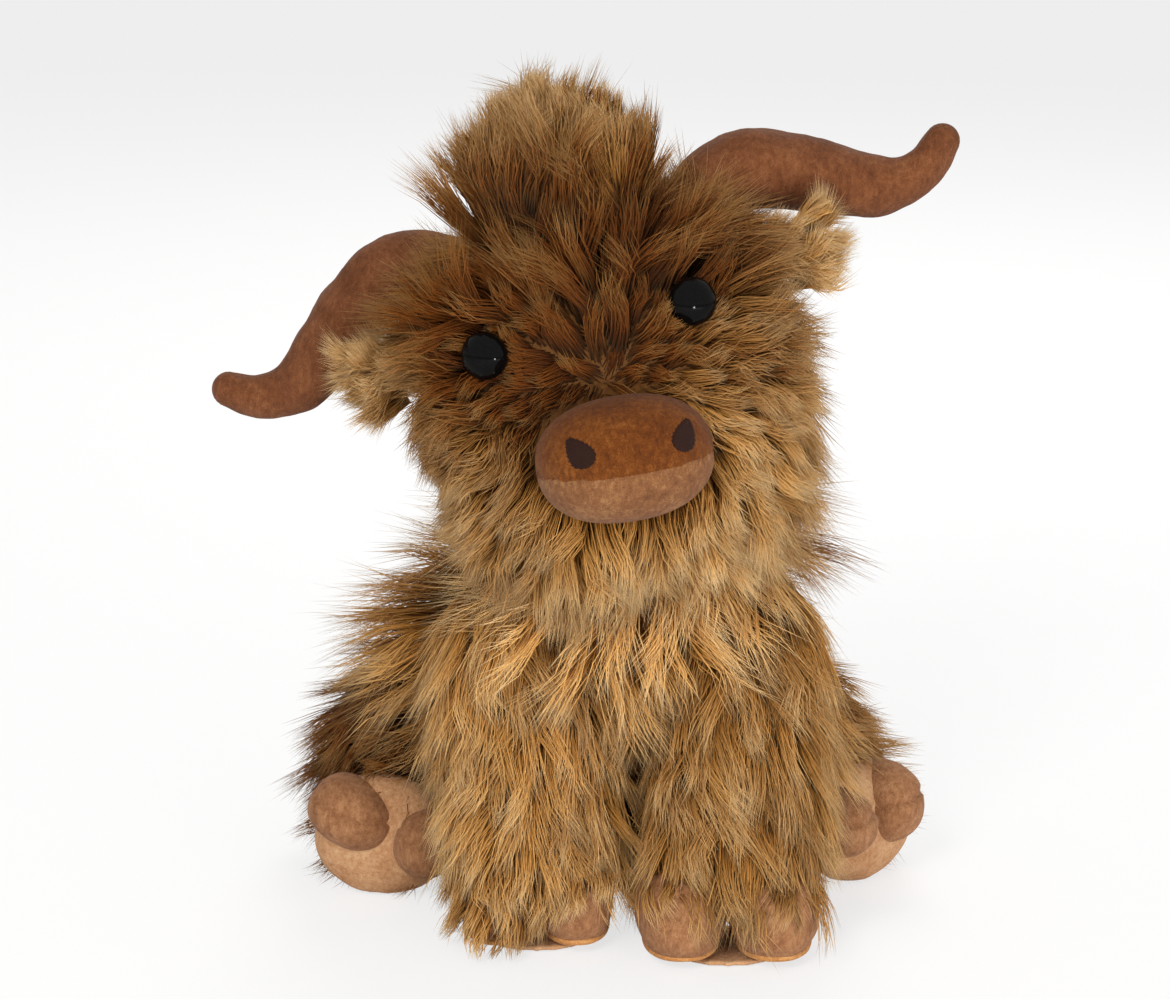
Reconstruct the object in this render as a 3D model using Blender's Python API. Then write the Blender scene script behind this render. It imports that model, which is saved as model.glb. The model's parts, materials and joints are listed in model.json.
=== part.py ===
"""Sitting long-haired plush cow, modelled piece by piece in metres.

The cow faces -Y, +X is to the right of somebody looking at its face and
+Z is up.  The origin is the middle of the flat seat under the body.
"""
import math

import bpy
from mathutils import Matrix, Vector

for old in list(bpy.data.objects):
    bpy.data.objects.remove(old, do_unlink=True)

# Gaps and cloth
PIECE_GAP = 0.0004        # between two pieces that touch
JOINT_GAP = 0.0005        # between a joint's ball and its seat
CLOTH = 0.0026            # fur cloth with the dense foot of its pile
VELOUR = 0.0016           # short-pile cloth of horns, muzzle and hooves
OVERRUN = 0.006           # how far a cutter runs past what it cuts
FLAT_CUT = 0.0005         # depth cut off a soft form where it stands
BLOCK_REACH = 0.5         # how far the blocks that cut along a plane reach

# Body
SEAT_HALF_WIDTH = 0.0565
BODY_HALF_DEPTH = 0.048
BODY_HEIGHT = 0.122
LEAN_FORWARD = 0.050      # top of the body ahead of the seat
LEAN_SIDE = 0.008         # top of the body right of the seat
BODY_SWAY = 0.012         # how far the hind part sits to the left
NECK_RADIUS = 0.035
NECK_RISE = 0.004         # neck centre above the top of the body
NECK_HEIGHT = BODY_HEIGHT + NECK_RISE
POUCH_SIDE = 0.006        # pouch left of the middle
POUCH_HALF_WIDTH = 0.030
POUCH_HALF_DEPTH = 0.026
POUCH_HEIGHT = 0.018
NECK_PAD = 0.0036         # thickness of the stuffing pad in the neck
NECK_PAD_RADIUS = 0.017
NECK_HOLE_RADIUS = 0.009

# Head, in its own upright frame above the neck's centre
HEAD_TILT = math.radians(15.0)
HEAD_RISE = 0.056         # head centre above the neck centre
HEAD_FORWARD = 0.022      # head centre ahead of the neck centre
HEAD_HALF_WIDTH = 0.0605
HEAD_HALF_DEPTH = 0.0555
HEAD_HALF_HEIGHT = 0.0520
HEAD_SQUARENESS = 2.5

# Muzzle, from the head's centre
MUZZLE_HALF_WIDTH = 0.027
MUZZLE_HALF_DEPTH = 0.021
MUZZLE_HALF_HEIGHT = 0.0190
MUZZLE_SIDE = 0.0012
MUZZLE_FORWARD = 0.0615
MUZZLE_DROP = 0.0085
MUZZLE_TURN = math.radians(11.0)        # its front points to the right of the head's,
MUZZLE_LIFT = math.radians(9.0)         # upward
MUZZLE_ROLL = math.radians(8.0)         # and its right side hangs lower
MUZZLE_SQUARENESS = 2.3
MUZZLE_HOLE_RADIUS = 0.013
MOUTH_DROP = 0.0006       # mouth seam at the corners, under the centre
MOUTH_SAG = 0.0030        # how much lower the seam runs in the middle
NOSTRIL_HALF_WIDTH = 0.0038
NOSTRIL_HALF_HEIGHT = 0.0046
NOSTRIL_SIDE = 0.0160
NOSTRIL_RISE = 0.0055
NOSTRIL_THREAD = 0.0008

# Eyes, from the head's centre
EYE_RADIUS = 0.0074
EYE_BULGE = 0.0050
EYE_SIDE = 0.0325
EYE_RISE = 0.029
EYE_OUTWARD = math.radians(20.0)
EYE_UPWARD = math.radians(8.0)
STEM_RADIUS = 0.0019
STEM_LENGTH = 0.0115
WASHER_RADIUS = 0.0058
WASHER_THICKNESS = 0.0014
WASHER_ROOM = 0.0008

# Forelock, from the head's centre
FORELOCK_HALF_WIDTH = 0.0305
FORELOCK_HALF_DEPTH = 0.020
FORELOCK_HEIGHT = 0.092
FORELOCK_SIDE = 0.001
FORELOCK_FORWARD = 0.014

# Horns, from the head's centre
HORN_ROOT_RADIUS = 0.0140
HORN_RADIUS = 0.0128
HORN_SIDE = 0.040
HORN_RISE = 0.038
HORN_BACK = 0.016
HORN_REACH = 0.080
HORN_LIFT = 0.0145        # height of the horn's shoulder above its root
HORN_SET_LEFT = math.radians(-8.0)
HORN_SET_RIGHT = math.radians(5.5)

# Ears, from the head's centre
EAR_ROOT_RADIUS = 0.0080
EAR_HALF_WIDTH = 0.0150
EAR_HALF_THICKNESS = 0.0080
EAR_LENGTH = 0.018
EAR_SIDE = 0.0578
EAR_RISE = 0.024
EAR_FORWARD = 0.007
EAR_DROOP = math.radians(16.0)

# Front legs
SHOULDER_SIDE = 0.0365
SHOULDER_FORWARD = 0.057
SHOULDER_HEIGHT = 0.094
SHOULDER_RADIUS = 0.0225
FRONT_LEG_RADIUS = 0.0240
FRONT_FOOT_SIDE = 0.0305
FRONT_FOOT_HEIGHT = 0.027   # centre of the rounded lower end of the leg
FRONT_LEG_BOTTOM = 0.012    # underside of the leg, between its toes
FRONT_REACH_LEFT = 0.019    # foot ahead of the shoulder
FRONT_REACH_RIGHT = 0.032
FRONT_SWING_BACK = math.radians(8.0)
FRONT_SWING_AHEAD = math.radians(45.0)
TOE_HALF_WIDTH = 0.0145
TOE_HALF_LENGTH = 0.025
TOE_HEIGHT = 0.029
TOE_FORWARD = 0.0065        # hoof's middle ahead of the leg's lower end
SOLE_THICKNESS = 0.0014

# Hind legs
HIP_INSET = 0.008           # hip inside the body's side
HIP_SIDE = SEAT_HALF_WIDTH - HIP_INSET      # from the middle of the hind part
HIP_HEIGHT = 0.044
HIP_RADIUS = 0.0245
HIP_FORWARD_LEFT = -0.0120
HIP_FORWARD_RIGHT = -0.004
THIGH_RADIUS = 0.0335
HIND_REACH_LEFT = 0.050     # level distance from hip to ankle
HIND_REACH_RIGHT = 0.043    # more of this leg is folded in at its seam
HIND_SPLAY_LEFT = math.radians(22.0)
HIND_SPLAY_RIGHT = math.radians(50.0)
HIND_TURN_LEFT = math.radians(11.0)      # how far the sole faces outward
HIND_TURN_RIGHT = math.radians(46.0)
HIND_ANKLE_HEIGHT = 0.0215
PAD_HALF_WIDTH = 0.0225
PAD_HALF_HEIGHT = 0.0205
PAD_HALF_DEPTH = 0.012
PAD_FORWARD = 0.010         # sole pad's middle ahead of the ankle
HIND_TOE_OUTER_LEFT = (0.0150, 0.0145, 0.0112)      # half width, length and height
HIND_TOE_INNER_LEFT = (0.0108, 0.0145, 0.0112)
HIND_TOE_OUTER_RIGHT = (0.0118, 0.0150, 0.0138)
HIND_TOE_INNER_RIGHT = (0.0108, 0.0145, 0.0112)
HIND_TOE_RISE = 0.0045      # toes above the ankle
HIND_TOE_IN_LEFT = 0.0068   # toes nearer the body than the sole pad's middle
HIND_TOE_IN_RIGHT = 0.0060
HIND_TOE_AHEAD = 0.0050     # toes ahead of the sole pad's middle
HIND_ROLL_LEFT = math.radians(19.0)     # inner toe lower than the outer one
HIND_ROLL_RIGHT = math.radians(4.0)
SIDE_CLEARANCE = 0.0010     # between a hind leg and the body's side

# Tail
TAIL_ROOT_RADIUS = 0.0068
TAIL_RADIUS = 0.0048
TAIL_HEIGHT = 0.050
TAIL_STANDOFF = 0.0061      # tail root behind the back of the body
TAIL_REACH = 0.032
TAIL_DROP = 0.026
TUFT_RADIUS = 0.0100
TUFT_LENGTH = 0.027

# Shares along the body: height, lean, half width, half depth, sway
BODY_SHARES = (
    (0.000, 0.00, 0.66, 0.64, 0.25), (0.028, 0.00, 0.84, 0.82, 0.40),
    (0.09, 0.00, 0.95, 0.95, 0.85), (0.22, 0.02, 1.00, 1.00, 1.00),
    (0.38, 0.10, 0.985, 0.97, 1.00), (0.53, 0.30, 0.98, 0.91, 1.30),
    (0.68, 0.58, 0.98, 0.93, 1.55), (0.81, 0.80, 0.95, 0.96, 1.40),
    (0.91, 0.93, 0.87, 0.92, 0.55), (0.97, 1.00, 0.72, 0.78, 0.15),
    (1.000, 1.00, 0.48, 0.52, 0.00),
)
# Shares along a front leg: way from shoulder to foot, radius
FRONT_LEG_SHARES = ((0.20, 0.97), (0.44, 0.96), (0.66, 0.99), (0.85, 1.0), (1.0, 0.97))
# Shares along a hind leg: way from hip to ankle, radius
HIND_LEG_SHARES = ((0.20, 0.95), (0.40, 0.98), (0.60, 0.88), (0.80, 0.73), (1.0, 0.63))
# Shares along a horn: reach, lift, radius
HORN_SHARES = (
    (0.10, 0.66, 1.03), (0.23, 0.90, 1.0), (0.38, 0.60, 0.96), (0.54, 0.08, 0.90),
    (0.68, -0.36, 0.78), (0.80, -0.55, 0.64), (0.91, -0.38, 0.51), (1.0, 0.0, 0.43),
)
HORN_ROOT_SHARES = (0.65, 0.76)
# Shares along an ear: way to the tip, half width, half thickness
EAR_SHARES = (
    (0.22, 0.44, 0.80), (0.42, 0.80, 1.0), (0.62, 1.0, 0.92), (0.80, 0.76, 0.74), (0.92, 0.45, 0.5),
)
# Shares of the forelock: height, half width, half depth
FORELOCK_SHARES = (
    (0.40, 0.86, 0.86), (0.56, 1.00, 0.92), (0.72, 1.04, 1.0), (0.86, 0.98, 0.95), (0.95, 0.78, 0.76),
    (1.0, 0.44, 0.4),
)
# Shares of a rounded end: advance, radius
ROUND_SHARES = tuple(
    (math.sin(math.radians(a)), math.cos(math.radians(a))) for a in (28.0, 56.0, 79.0)
)
TUFT_SHARES = ((0.0, 0.50), (0.25, 0.92), (0.48, 1.0), (0.70, 0.84), (0.88, 0.52), (1.0, 0.18))

FUR, VELOUR_RGB, HORN_RGB = (0.42, 0.24, 0.10), (0.40, 0.20, 0.10), (0.33, 0.15, 0.08)
FILL_RGB, EYE_RGB, THREAD_RGB = (0.85, 0.84, 0.80), (0.01, 0.01, 0.012), (0.05, 0.025, 0.022)


def material(name, colour, roughness=0.9, metallic=0.0):
    made = bpy.data.materials.new(name)
    made.use_nodes = True
    shader = made.node_tree.nodes["Principled BSDF"]
    shader.inputs["Base Color"].default_value = (*colour, 1.0)
    shader.inputs["Roughness"].default_value = roughness
    shader.inputs["Metallic"].default_value = metallic
    return made


def add(name, points, faces, parent=None, place=None, colour=None, **finish):
    """Put a mesh in the scene; one without a colour is a cutter."""
    mesh = bpy.data.meshes.new(name)
    mesh.from_pydata([tuple(p) for p in points], [], faces)
    mesh.shade_smooth()
    thing = bpy.data.objects.new(name, mesh)
    bpy.context.scene.collection.objects.link(thing)
    thing.parent = parent
    if place is not None:
        thing.matrix_local = place if isinstance(place, Matrix) else Matrix.Translation(place)
    if colour is None:
        thing.hide_render = True
        thing.display_type = "WIRE"
    else:
        mesh.materials.append(material(name, colour, **finish))
    return thing


def boolean(thing, operation, *others, solver="EXACT"):
    for other in others:
        step = thing.modifiers.new(other.name, "BOOLEAN")
        step.operation = operation
        step.object = other
        step.solver = solver


def cut(thing, *others):
    boolean(thing, "DIFFERENCE", *others)


def carve(thing, *others):
    """Cut a shell that the exact solver leaves open, after its many other cuts."""
    boolean(thing, "DIFFERENCE", *others, solver="MANIFOLD")


def join(thing, *others):
    boolean(thing, "UNION", *others)


def keep_inside(thing, *others):
    boolean(thing, "INTERSECT", *others)


def rings_mesh(rings):
    """Points and faces of closed rings joined in a row, with fan-free end caps."""
    count = len(rings[0])
    points = [p for ring in rings for p in ring]
    faces = [tuple(reversed(range(count)))]
    for row in range(len(rings) - 1):
        low, high = row * count, (row + 1) * count
        for i in range(count):
            j = (i + 1) % count
            faces.append((low + i, low + j, high + j, high + i))
    top = (len(rings) - 1) * count
    faces.append(tuple(range(top, top + count)))
    return points, faces


def ring(centre, across, along, count):
    """A closed ring; across and along are its half axes as vectors."""
    turn = 2.0 * math.pi / count
    return [centre + across * math.cos(i * turn) + along * math.sin(i * turn) for i in range(count)]


def tube_rings(path, radii, count, flat=None, hint=Vector((0, 1, 0))):
    """Rings square to a path; flat holds the shares of a flattened second axis."""
    rings = []
    for i, centre in enumerate(path):
        ahead = (path[min(i + 1, len(path) - 1)] - path[max(i - 1, 0)]).normalized()
        side = hint.cross(ahead).normalized()
        deep = ahead.cross(side).normalized()
        thin = radii[i] if flat is None else flat[i]
        rings.append(ring(centre, side * radii[i], deep * thin, count))
    return rings


def ball_path(start, towards, radius, back=True):
    """Centres and radii of a rounded end whose ball is centred on start."""
    ahead = (towards - start).normalized()
    sign = -1.0 if back else 1.0
    rows = [(start + ahead * sign * radius * out, radius * wide) for out, wide in ROUND_SHARES]
    return rows[::-1] if back else rows


def superellipsoid(half, power, columns=28, rows=14, grow=0.0):
    a, b, c = (h + grow for h in half)
    points, faces = [], []

    def spot(u, v):
        d = Vector((math.cos(v) * math.cos(u), math.cos(v) * math.sin(u), math.sin(v)))
        total = abs(d.x / a) ** power + abs(d.y / b) ** power + abs(d.z / c) ** power
        return d * total ** (-1.0 / power)

    points.append(spot(0.0, -math.pi / 2))
    for r in range(1, rows):
        v = -math.pi / 2 + math.pi * r / rows
        points += [spot(2.0 * math.pi * i / columns, v) for i in range(columns)]
    points.append(spot(0.0, math.pi / 2))
    last = len(points) - 1
    for i in range(columns):
        j = (i + 1) % columns
        faces.append((0, 1 + j, 1 + i))
        for r in range(rows - 2):
            low, high = 1 + r * columns, 1 + (r + 1) * columns
            faces.append((low + i, low + j, high + j, high + i))
        faces.append((last, last - columns + i, last - columns + j))
    return points, faces


def ball(radius, columns=20, rows=10):
    return superellipsoid((radius, radius, radius), 2.0, columns, rows)


def seat_ball(radius, columns=20, rows=10):
    """A ball-shaped cutter whose flat facets all clear a ball of the radius."""
    flats = math.cos(math.pi / columns) * math.cos(math.pi / rows / 2.0)
    return ball((radius + JOINT_GAP) / flats, columns, rows)


def box(low, high):
    (a, b, c), (d, e, f) = low, high
    points = [(a, b, c), (d, b, c), (d, e, c), (a, e, c), (a, b, f), (d, b, f), (d, e, f), (a, e, f)]
    faces = [(3, 2, 1, 0), (4, 5, 6, 7), (0, 1, 5, 4), (1, 2, 6, 5), (2, 3, 7, 6), (3, 0, 4, 7)]
    return points, faces


def prism(outline, near, far):
    """An outline in X and Z, drawn anticlockwise as seen from -Y, run along Y."""
    count = len(outline)
    points = [(x, near, z) for x, z in outline] + [(x, far, z) for x, z in outline]
    faces = [tuple(range(count)), tuple(reversed(range(count, 2 * count)))]
    for i in range(count):
        j = (i + 1) % count
        faces.append((j, i, count + i, count + j))
    return points, faces


def cylinder(start, end, radius, count=20):
    start, end = Vector(start), Vector(end)
    hint = Vector((0, 1, 0)) if abs((end - start).normalized().y) < 0.9 else Vector((1, 0, 0))
    return rings_mesh(tube_rings([start, end], [radius, radius], count, hint=hint))


def empty(name, place, parent=None):
    made = bpy.data.objects.new(name, None)
    bpy.context.scene.collection.objects.link(made)
    made.parent = parent
    made.matrix_local = place
    return made


# Body: fur cover, stuffing, pellet pouch
def body_rings(inset, count):
    rings = []
    for height, lean, wide, deep, sway in BODY_SHARES:
        level = inset + height * (BODY_HEIGHT - 2.0 * inset)
        centre = Vector((lean * LEAN_SIDE - sway * BODY_SWAY, -lean * LEAN_FORWARD, level))
        across = Vector((wide * SEAT_HALF_WIDTH - inset, 0, 0))
        along = Vector((0, deep * BODY_HALF_DEPTH - inset, 0))
        rings.append(ring(centre, across, along, count))
    return rings


neck_centre = Vector((LEAN_SIDE, -LEAN_FORWARD, NECK_HEIGHT))
torso = add("torso_cover", *rings_mesh(body_rings(0.0, 22)), colour=FUR)
neck_ball = add("neck_ball_shape", *ball(NECK_RADIUS, 20, 10), place=neck_centre)
join(torso, neck_ball)

SIDES = (("left", -1.0), ("right", 1.0))
reaches = {"left": FRONT_REACH_LEFT, "right": FRONT_REACH_RIGHT}


def shoulder(sign):
    return Vector((sign * SHOULDER_SIDE, -SHOULDER_FORWARD, SHOULDER_HEIGHT))


def front_foot(side, sign):
    return Vector((sign * FRONT_FOOT_SIDE, -SHOULDER_FORWARD - reaches[side], FRONT_FOOT_HEIGHT))


def front_leg(side, sign, grow, count=14):
    """Rings of a front leg about its shoulder, grown or shrunk all round."""
    foot = front_foot(side, sign) - shoulder(sign)
    zero = Vector((0, 0, 0))
    rows = ball_path(zero, foot, SHOULDER_RADIUS + grow)
    rows += [(zero, SHOULDER_RADIUS + grow)]
    rows += [(foot * way, share * FRONT_LEG_RADIUS + grow) for way, share in FRONT_LEG_SHARES]
    end = FRONT_LEG_SHARES[-1][1] * FRONT_LEG_RADIUS + grow
    squash = (FRONT_FOOT_HEIGHT - FRONT_LEG_BOTTOM + grow) / end
    rows += [
        (foot + (centre - foot) * squash, radius)
        for centre, radius in ball_path(foot, foot * 2.0, end, back=False)
    ]
    return rings_mesh(tube_rings([r[0] for r in rows], [r[1] for r in rows], count))


def swing_fan(side, sign, grow):
    """The room that a front leg sweeps between its rest and its furthest forward."""
    foot = front_foot(side, sign) - shoulder(sign)
    reach = math.hypot(foot.y, foot.z)
    low = math.atan2(foot.y, -foot.z)
    stations = [(SHOULDER_RADIUS / 4.0, SHOULDER_RADIUS)]
    stations += [(reach * way, share * FRONT_LEG_RADIUS) for way, share in FRONT_LEG_SHARES]
    near = [(r, foot.x * r / reach - wide - grow) for r, wide in stations]
    far = [(r, foot.x * r / reach + wide + grow) for r, wide in stations]
    rings = []
    for step in range(7):
        angle = low - FRONT_SWING_AHEAD * step / 6.0
        rings.append([Vector((x, r * math.sin(angle), -r * math.cos(angle)))
                      for r, x in near + far[::-1]])
    return rings_mesh(rings)


hip_ahead = {"left": HIP_FORWARD_LEFT, "right": HIP_FORWARD_RIGHT}
splays = {"left": HIND_SPLAY_LEFT, "right": HIND_SPLAY_RIGHT}
turns = {"left": HIND_TURN_LEFT, "right": HIND_TURN_RIGHT}
toe_shifts = {"left": HIND_TOE_IN_LEFT, "right": HIND_TOE_IN_RIGHT}
toe_halves = {"outer_left": HIND_TOE_OUTER_LEFT, "inner_left": HIND_TOE_INNER_LEFT,
              "outer_right": HIND_TOE_OUTER_RIGHT, "inner_right": HIND_TOE_INNER_RIGHT}
hind_reaches = {"left": HIND_REACH_LEFT, "right": HIND_REACH_RIGHT}
rolls = {"left": HIND_ROLL_LEFT, "right": HIND_ROLL_RIGHT}


def hip(side, sign):
    return Vector((sign * HIP_SIDE - BODY_SWAY, -hip_ahead[side], HIP_HEIGHT))


for side, sign in SIDES:
    # The body's cloth dents where a leg is sewn on, as far as the leg swings.
    for name, turn in (("rest", 0.0), ("back", FRONT_SWING_BACK), ("ahead", -FRONT_SWING_AHEAD)):
        swing = Matrix.Translation(shoulder(sign)) @ Matrix.Rotation(turn, 4, "X")
        dent = add(f"shoulder_{side}_{name}_shape", *front_leg(side, sign, JOINT_GAP), place=swing)
        carve(torso, dent)
    fan = add(f"shoulder_{side}_fan_shape", *swing_fan(side, sign, JOINT_GAP), place=shoulder(sign))
    carve(torso, fan)
    seat = seat_ball(SHOULDER_RADIUS, 16, 8)
    carve(torso, add(f"shoulder_{side}_shape", *seat, place=shoulder(sign)))
    carve(torso, add(f"hip_{side}_shape", *seat_ball(HIP_RADIUS, 16, 8), place=hip(side, sign)))


def body_back(level):
    """How far back the rear of the body lies at a height."""
    share = level / BODY_HEIGHT
    low, high = next(pair for pair in zip(BODY_SHARES, BODY_SHARES[1:]) if pair[1][0] >= share)
    way = (share - low[0]) / (high[0] - low[0])
    lean, deep = (low[i] + way * (high[i] - low[i]) for i in (1, 3))
    return deep * BODY_HALF_DEPTH - lean * LEAN_FORWARD


tail_root = Vector((-BODY_SWAY, body_back(TAIL_HEIGHT) + TAIL_STANDOFF, TAIL_HEIGHT))
carve(torso, add("tail_seat_shape", *seat_ball(TAIL_ROOT_RADIUS, 10, 5), place=tail_root))


def body_core(name, inset, colour=None):
    """The body's inside, less the room that the dents take."""
    core = add(name, *rings_mesh(body_rings(inset, 14)), colour=colour)
    join(core, add(f"{name}_neck", *ball(NECK_RADIUS - inset, 12, 6), place=neck_centre))
    for side, sign in SIDES:
        grow = 2.0 * CLOTH + inset
        for part, turn in (("arm", 0.5 * FRONT_SWING_BACK), ("reach", -FRONT_SWING_AHEAD)):
            lean = Matrix.Translation(shoulder(sign)) @ Matrix.Rotation(turn, 4, "X")
            carve(core, add(f"{name}_{part}_{side}", *front_leg(side, sign, grow, 8), place=lean))
        carve(core, add(f"{name}_fan_{side}", *swing_fan(side, sign, grow), place=shoulder(sign)))
        seat = seat_ball(HIP_RADIUS + inset, 12, 6)
        carve(core, add(f"{name}_hip_{side}", *seat, place=hip(side, sign)))
    carve(core, add(f"{name}_tail", *seat_ball(TAIL_ROOT_RADIUS + inset, 8, 4), place=tail_root))
    return core


cavity = body_core("body_cavity_shape", CLOTH)
carve(torso, cavity)
neck_top = Vector((0, 0, NECK_RADIUS + OVERRUN))
carve(torso, add("neck_hole_shape", *cylinder((0, 0, 0), neck_top, NECK_HOLE_RADIUS, 12),
               place=neck_centre))

filling = body_core("torso_filling", CLOTH + PIECE_GAP, FILL_RGB)


def pouch_rings(grow, low):
    rows = ((0.0, 0.80), (0.2, 0.96), (0.5, 1.0), (0.8, 0.9), (1.0, 0.62))
    rings = []
    for height_share, wide_share in rows:
        level = POUCH_HEIGHT * height_share + (grow if height_share else -low)
        rings.append(
            ring(
                Vector((-POUCH_SIDE, 0, CLOTH + PIECE_GAP + level)),
                Vector((POUCH_HALF_WIDTH * wide_share + grow, 0, 0)),
                Vector((0, POUCH_HALF_DEPTH * wide_share + grow, 0)),
                18,
            )
        )
    return rings_mesh(rings)


add("pellet_pouch", *pouch_rings(0.0, 0.0), colour=(0.6, 0.55, 0.45))
carve(filling, add("pouch_room_shape", *pouch_rings(PIECE_GAP, OVERRUN)))

# Neck and head
tilt = Matrix.Rotation(-HEAD_TILT, 4, "Y")
neck = empty("neck_pivot", Matrix.Translation(neck_centre) @ tilt)
head_centre = Vector((0, -HEAD_FORWARD, HEAD_RISE))
head_half = (HEAD_HALF_WIDTH, HEAD_HALF_DEPTH, HEAD_HALF_HEIGHT)


def cap(inner, outer, edge, count=18):
    """A bowl-shaped pad between two balls about the neck's centre."""
    rings = []
    for radius, steps in ((inner, range(1, 5)), (outer, range(4, 0, -1))):
        rim = math.asin(edge / radius)
        for step in steps:
            angle = rim * step / 4.0
            centre = Vector((0, 0, radius * math.cos(angle)))
            wide = radius * math.sin(angle)
            rings.append(ring(centre, Vector((wide, 0, 0)), Vector((0, wide, 0)), count))
    return rings_mesh(rings)


pad_low = NECK_RADIUS + JOINT_GAP
pad_high = pad_low + NECK_PAD
add("neck_filling", *cap(pad_low, pad_high, NECK_PAD_RADIUS), parent=neck, colour=FILL_RGB)

head = add("head_cover", *superellipsoid(head_half, HEAD_SQUARENESS, 22, 12), parent=neck,
           place=head_centre, colour=FUR)
carve(head, add("neck_socket_shape", *seat_ball(pad_high, 20, 10), parent=neck))


def at_head(x, y, z):
    return head_centre + Vector((x, y, z))


def head_surface(x, z, grow=0.0):
    """How far ahead of its centre the head's front lies at x and z."""
    a, b, c = (h + grow for h in head_half)
    left = 1.0 - abs(x / a) ** HEAD_SQUARENESS - abs(z / c) ** HEAD_SQUARENESS
    return b * max(left, 0.0) ** (1.0 / HEAD_SQUARENESS)


def head_core(name, inset, colour=None):
    core = add(name, *superellipsoid(head_half, HEAD_SQUARENESS, 16, 8, -inset), parent=neck,
               place=head_centre, colour=colour)
    carve(core, add(f"{name}_neck", *seat_ball(pad_high + inset, 12, 6), parent=neck))
    return core


head_wall = 2.0 * CLOTH
head_cavity = head_core("head_cavity_shape", head_wall)
head_filling = head_core("head_filling", head_wall + PIECE_GAP, FILL_RGB)
carve(head, head_cavity)
opening = cylinder((0, 0, NECK_RADIUS), (0, 0, HEAD_RISE), NECK_HOLE_RADIUS)
carve(head, add("head_opening_shape", *opening, parent=neck))

# Eyes: domes on stems, held inside by washers
eye_back = {}
for side, sign in SIDES:
    front = head_surface(EYE_SIDE, EYE_RISE)
    place = (
        Matrix.Translation(at_head(sign * EYE_SIDE, -front, EYE_RISE))
        @ Matrix.Rotation(sign * EYE_OUTWARD, 4, "Z")
        @ Matrix.Rotation(EYE_UPWARD, 4, "X").inverted()
        @ Matrix.Rotation(math.pi / 2, 4, "X")
    )
    seat = PIECE_GAP
    rows = [(-STEM_LENGTH, STEM_RADIUS), (seat, STEM_RADIUS), (seat, EYE_RADIUS)]
    rows += [
        (seat + EYE_BULGE * out, EYE_RADIUS * wide)
        for out, wide in ROUND_SHARES
    ]
    rings = [ring(Vector((0, 0, z)), Vector((r, 0, 0)), Vector((0, r, 0)), 14) for z, r in rows]
    add(f"eye_{side}", *rings_mesh(rings), parent=neck, place=place,
        colour=EYE_RGB, roughness=0.08)
    rings = [ring(Vector((0, 0, z)), Vector((r, 0, 0)), Vector((0, r, 0)), 14) for z, r in
             ((0.0, EYE_RADIUS + PIECE_GAP), (OVERRUN + EYE_BULGE, EYE_RADIUS + PIECE_GAP))]
    carve(head, add(f"eye_{side}_seat_shape", *rings_mesh(rings), parent=neck, place=place))
    bore = STEM_RADIUS + PIECE_GAP
    rings = [ring(Vector((0, 0, z)), Vector((bore, 0, 0)), Vector((0, bore, 0)), 10)
             for z in (-STEM_LENGTH - OVERRUN, OVERRUN)]
    carve(head, add(f"eye_{side}_hole_shape", *rings_mesh(rings), parent=neck, place=place))
    top = -head_wall - WASHER_ROOM - 2.0 * PIECE_GAP
    rings = []
    for z, r in ((top, bore), (top - WASHER_THICKNESS, bore),
                 (top - WASHER_THICKNESS, WASHER_RADIUS), (top, WASHER_RADIUS)):
        rings.append(ring(Vector((0, 0, z)), Vector((r, 0, 0)), Vector((0, r, 0)), 12))
    points = [p for row in rings for p in row]
    faces = []
    for row in range(4):
        low, high = row * 12, (row + 1) % 4 * 12
        faces += [(low + (i + 1) % 12, low + i, high + i, high + (i + 1) % 12) for i in range(12)]
    add(f"eye_washer_{side}", points, [tuple(reversed(f)) for f in faces], parent=neck, place=place,
        colour=(0.75, 0.75, 0.75))
    room = WASHER_RADIUS + WASHER_ROOM
    rings = [ring(Vector((0, 0, z)), Vector((room, 0, 0)), Vector((0, room, 0)), 10)
             for z in (-STEM_LENGTH - WASHER_ROOM, 0.0)]
    recess = add(f"eye_{side}_room_shape", *rings_mesh(rings), parent=neck, place=place)
    carve(head_filling, recess)
    rings = [ring(Vector((0, 0, z)), Vector((room, 0, 0)), Vector((0, room, 0)), 10)
             for z in (-STEM_LENGTH - WASHER_ROOM, top + WASHER_ROOM)]
    carve(head, add(f"eye_{side}_inner_shape", *rings_mesh(rings), parent=neck, place=place))

# Muzzle: two velour panels over their own stuffing, nostrils stitched on
muzzle_centre = (Matrix.Translation(at_head(MUZZLE_SIDE, -MUZZLE_FORWARD, -MUZZLE_DROP))
                 @ Matrix.Rotation(MUZZLE_ROLL, 4, "Y") @ Matrix.Rotation(MUZZLE_TURN, 4, "Z")
                 @ Matrix.Rotation(-MUZZLE_LIFT, 4, "X"))
muzzle_half = (MUZZLE_HALF_WIDTH, MUZZLE_HALF_DEPTH, MUZZLE_HALF_HEIGHT)
head_block = add("head_block_shape", *superellipsoid(head_half, HEAD_SQUARENESS, 22, 12, PIECE_GAP),
                 parent=neck, place=head_centre)


def mouth_outline(above):
    """Everything above or below the mouth seam, each half a gap past it."""
    wide = MUZZLE_HALF_WIDTH + OVERRUN
    shift = -PIECE_GAP / 2.0 if above else PIECE_GAP / 2.0
    steps = 8
    curve = []
    for i in range(steps + 1):
        along = 2.0 * i / steps - 1.0
        curve.append((along * wide, -MOUTH_DROP - MOUTH_SAG * (1.0 - along * along) + shift))
    reach = MUZZLE_HALF_HEIGHT + OVERRUN
    if above:
        return curve + [(wide, reach), (-wide, reach)]
    return [(-wide, -reach), (wide, -reach)] + curve[::-1]


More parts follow.
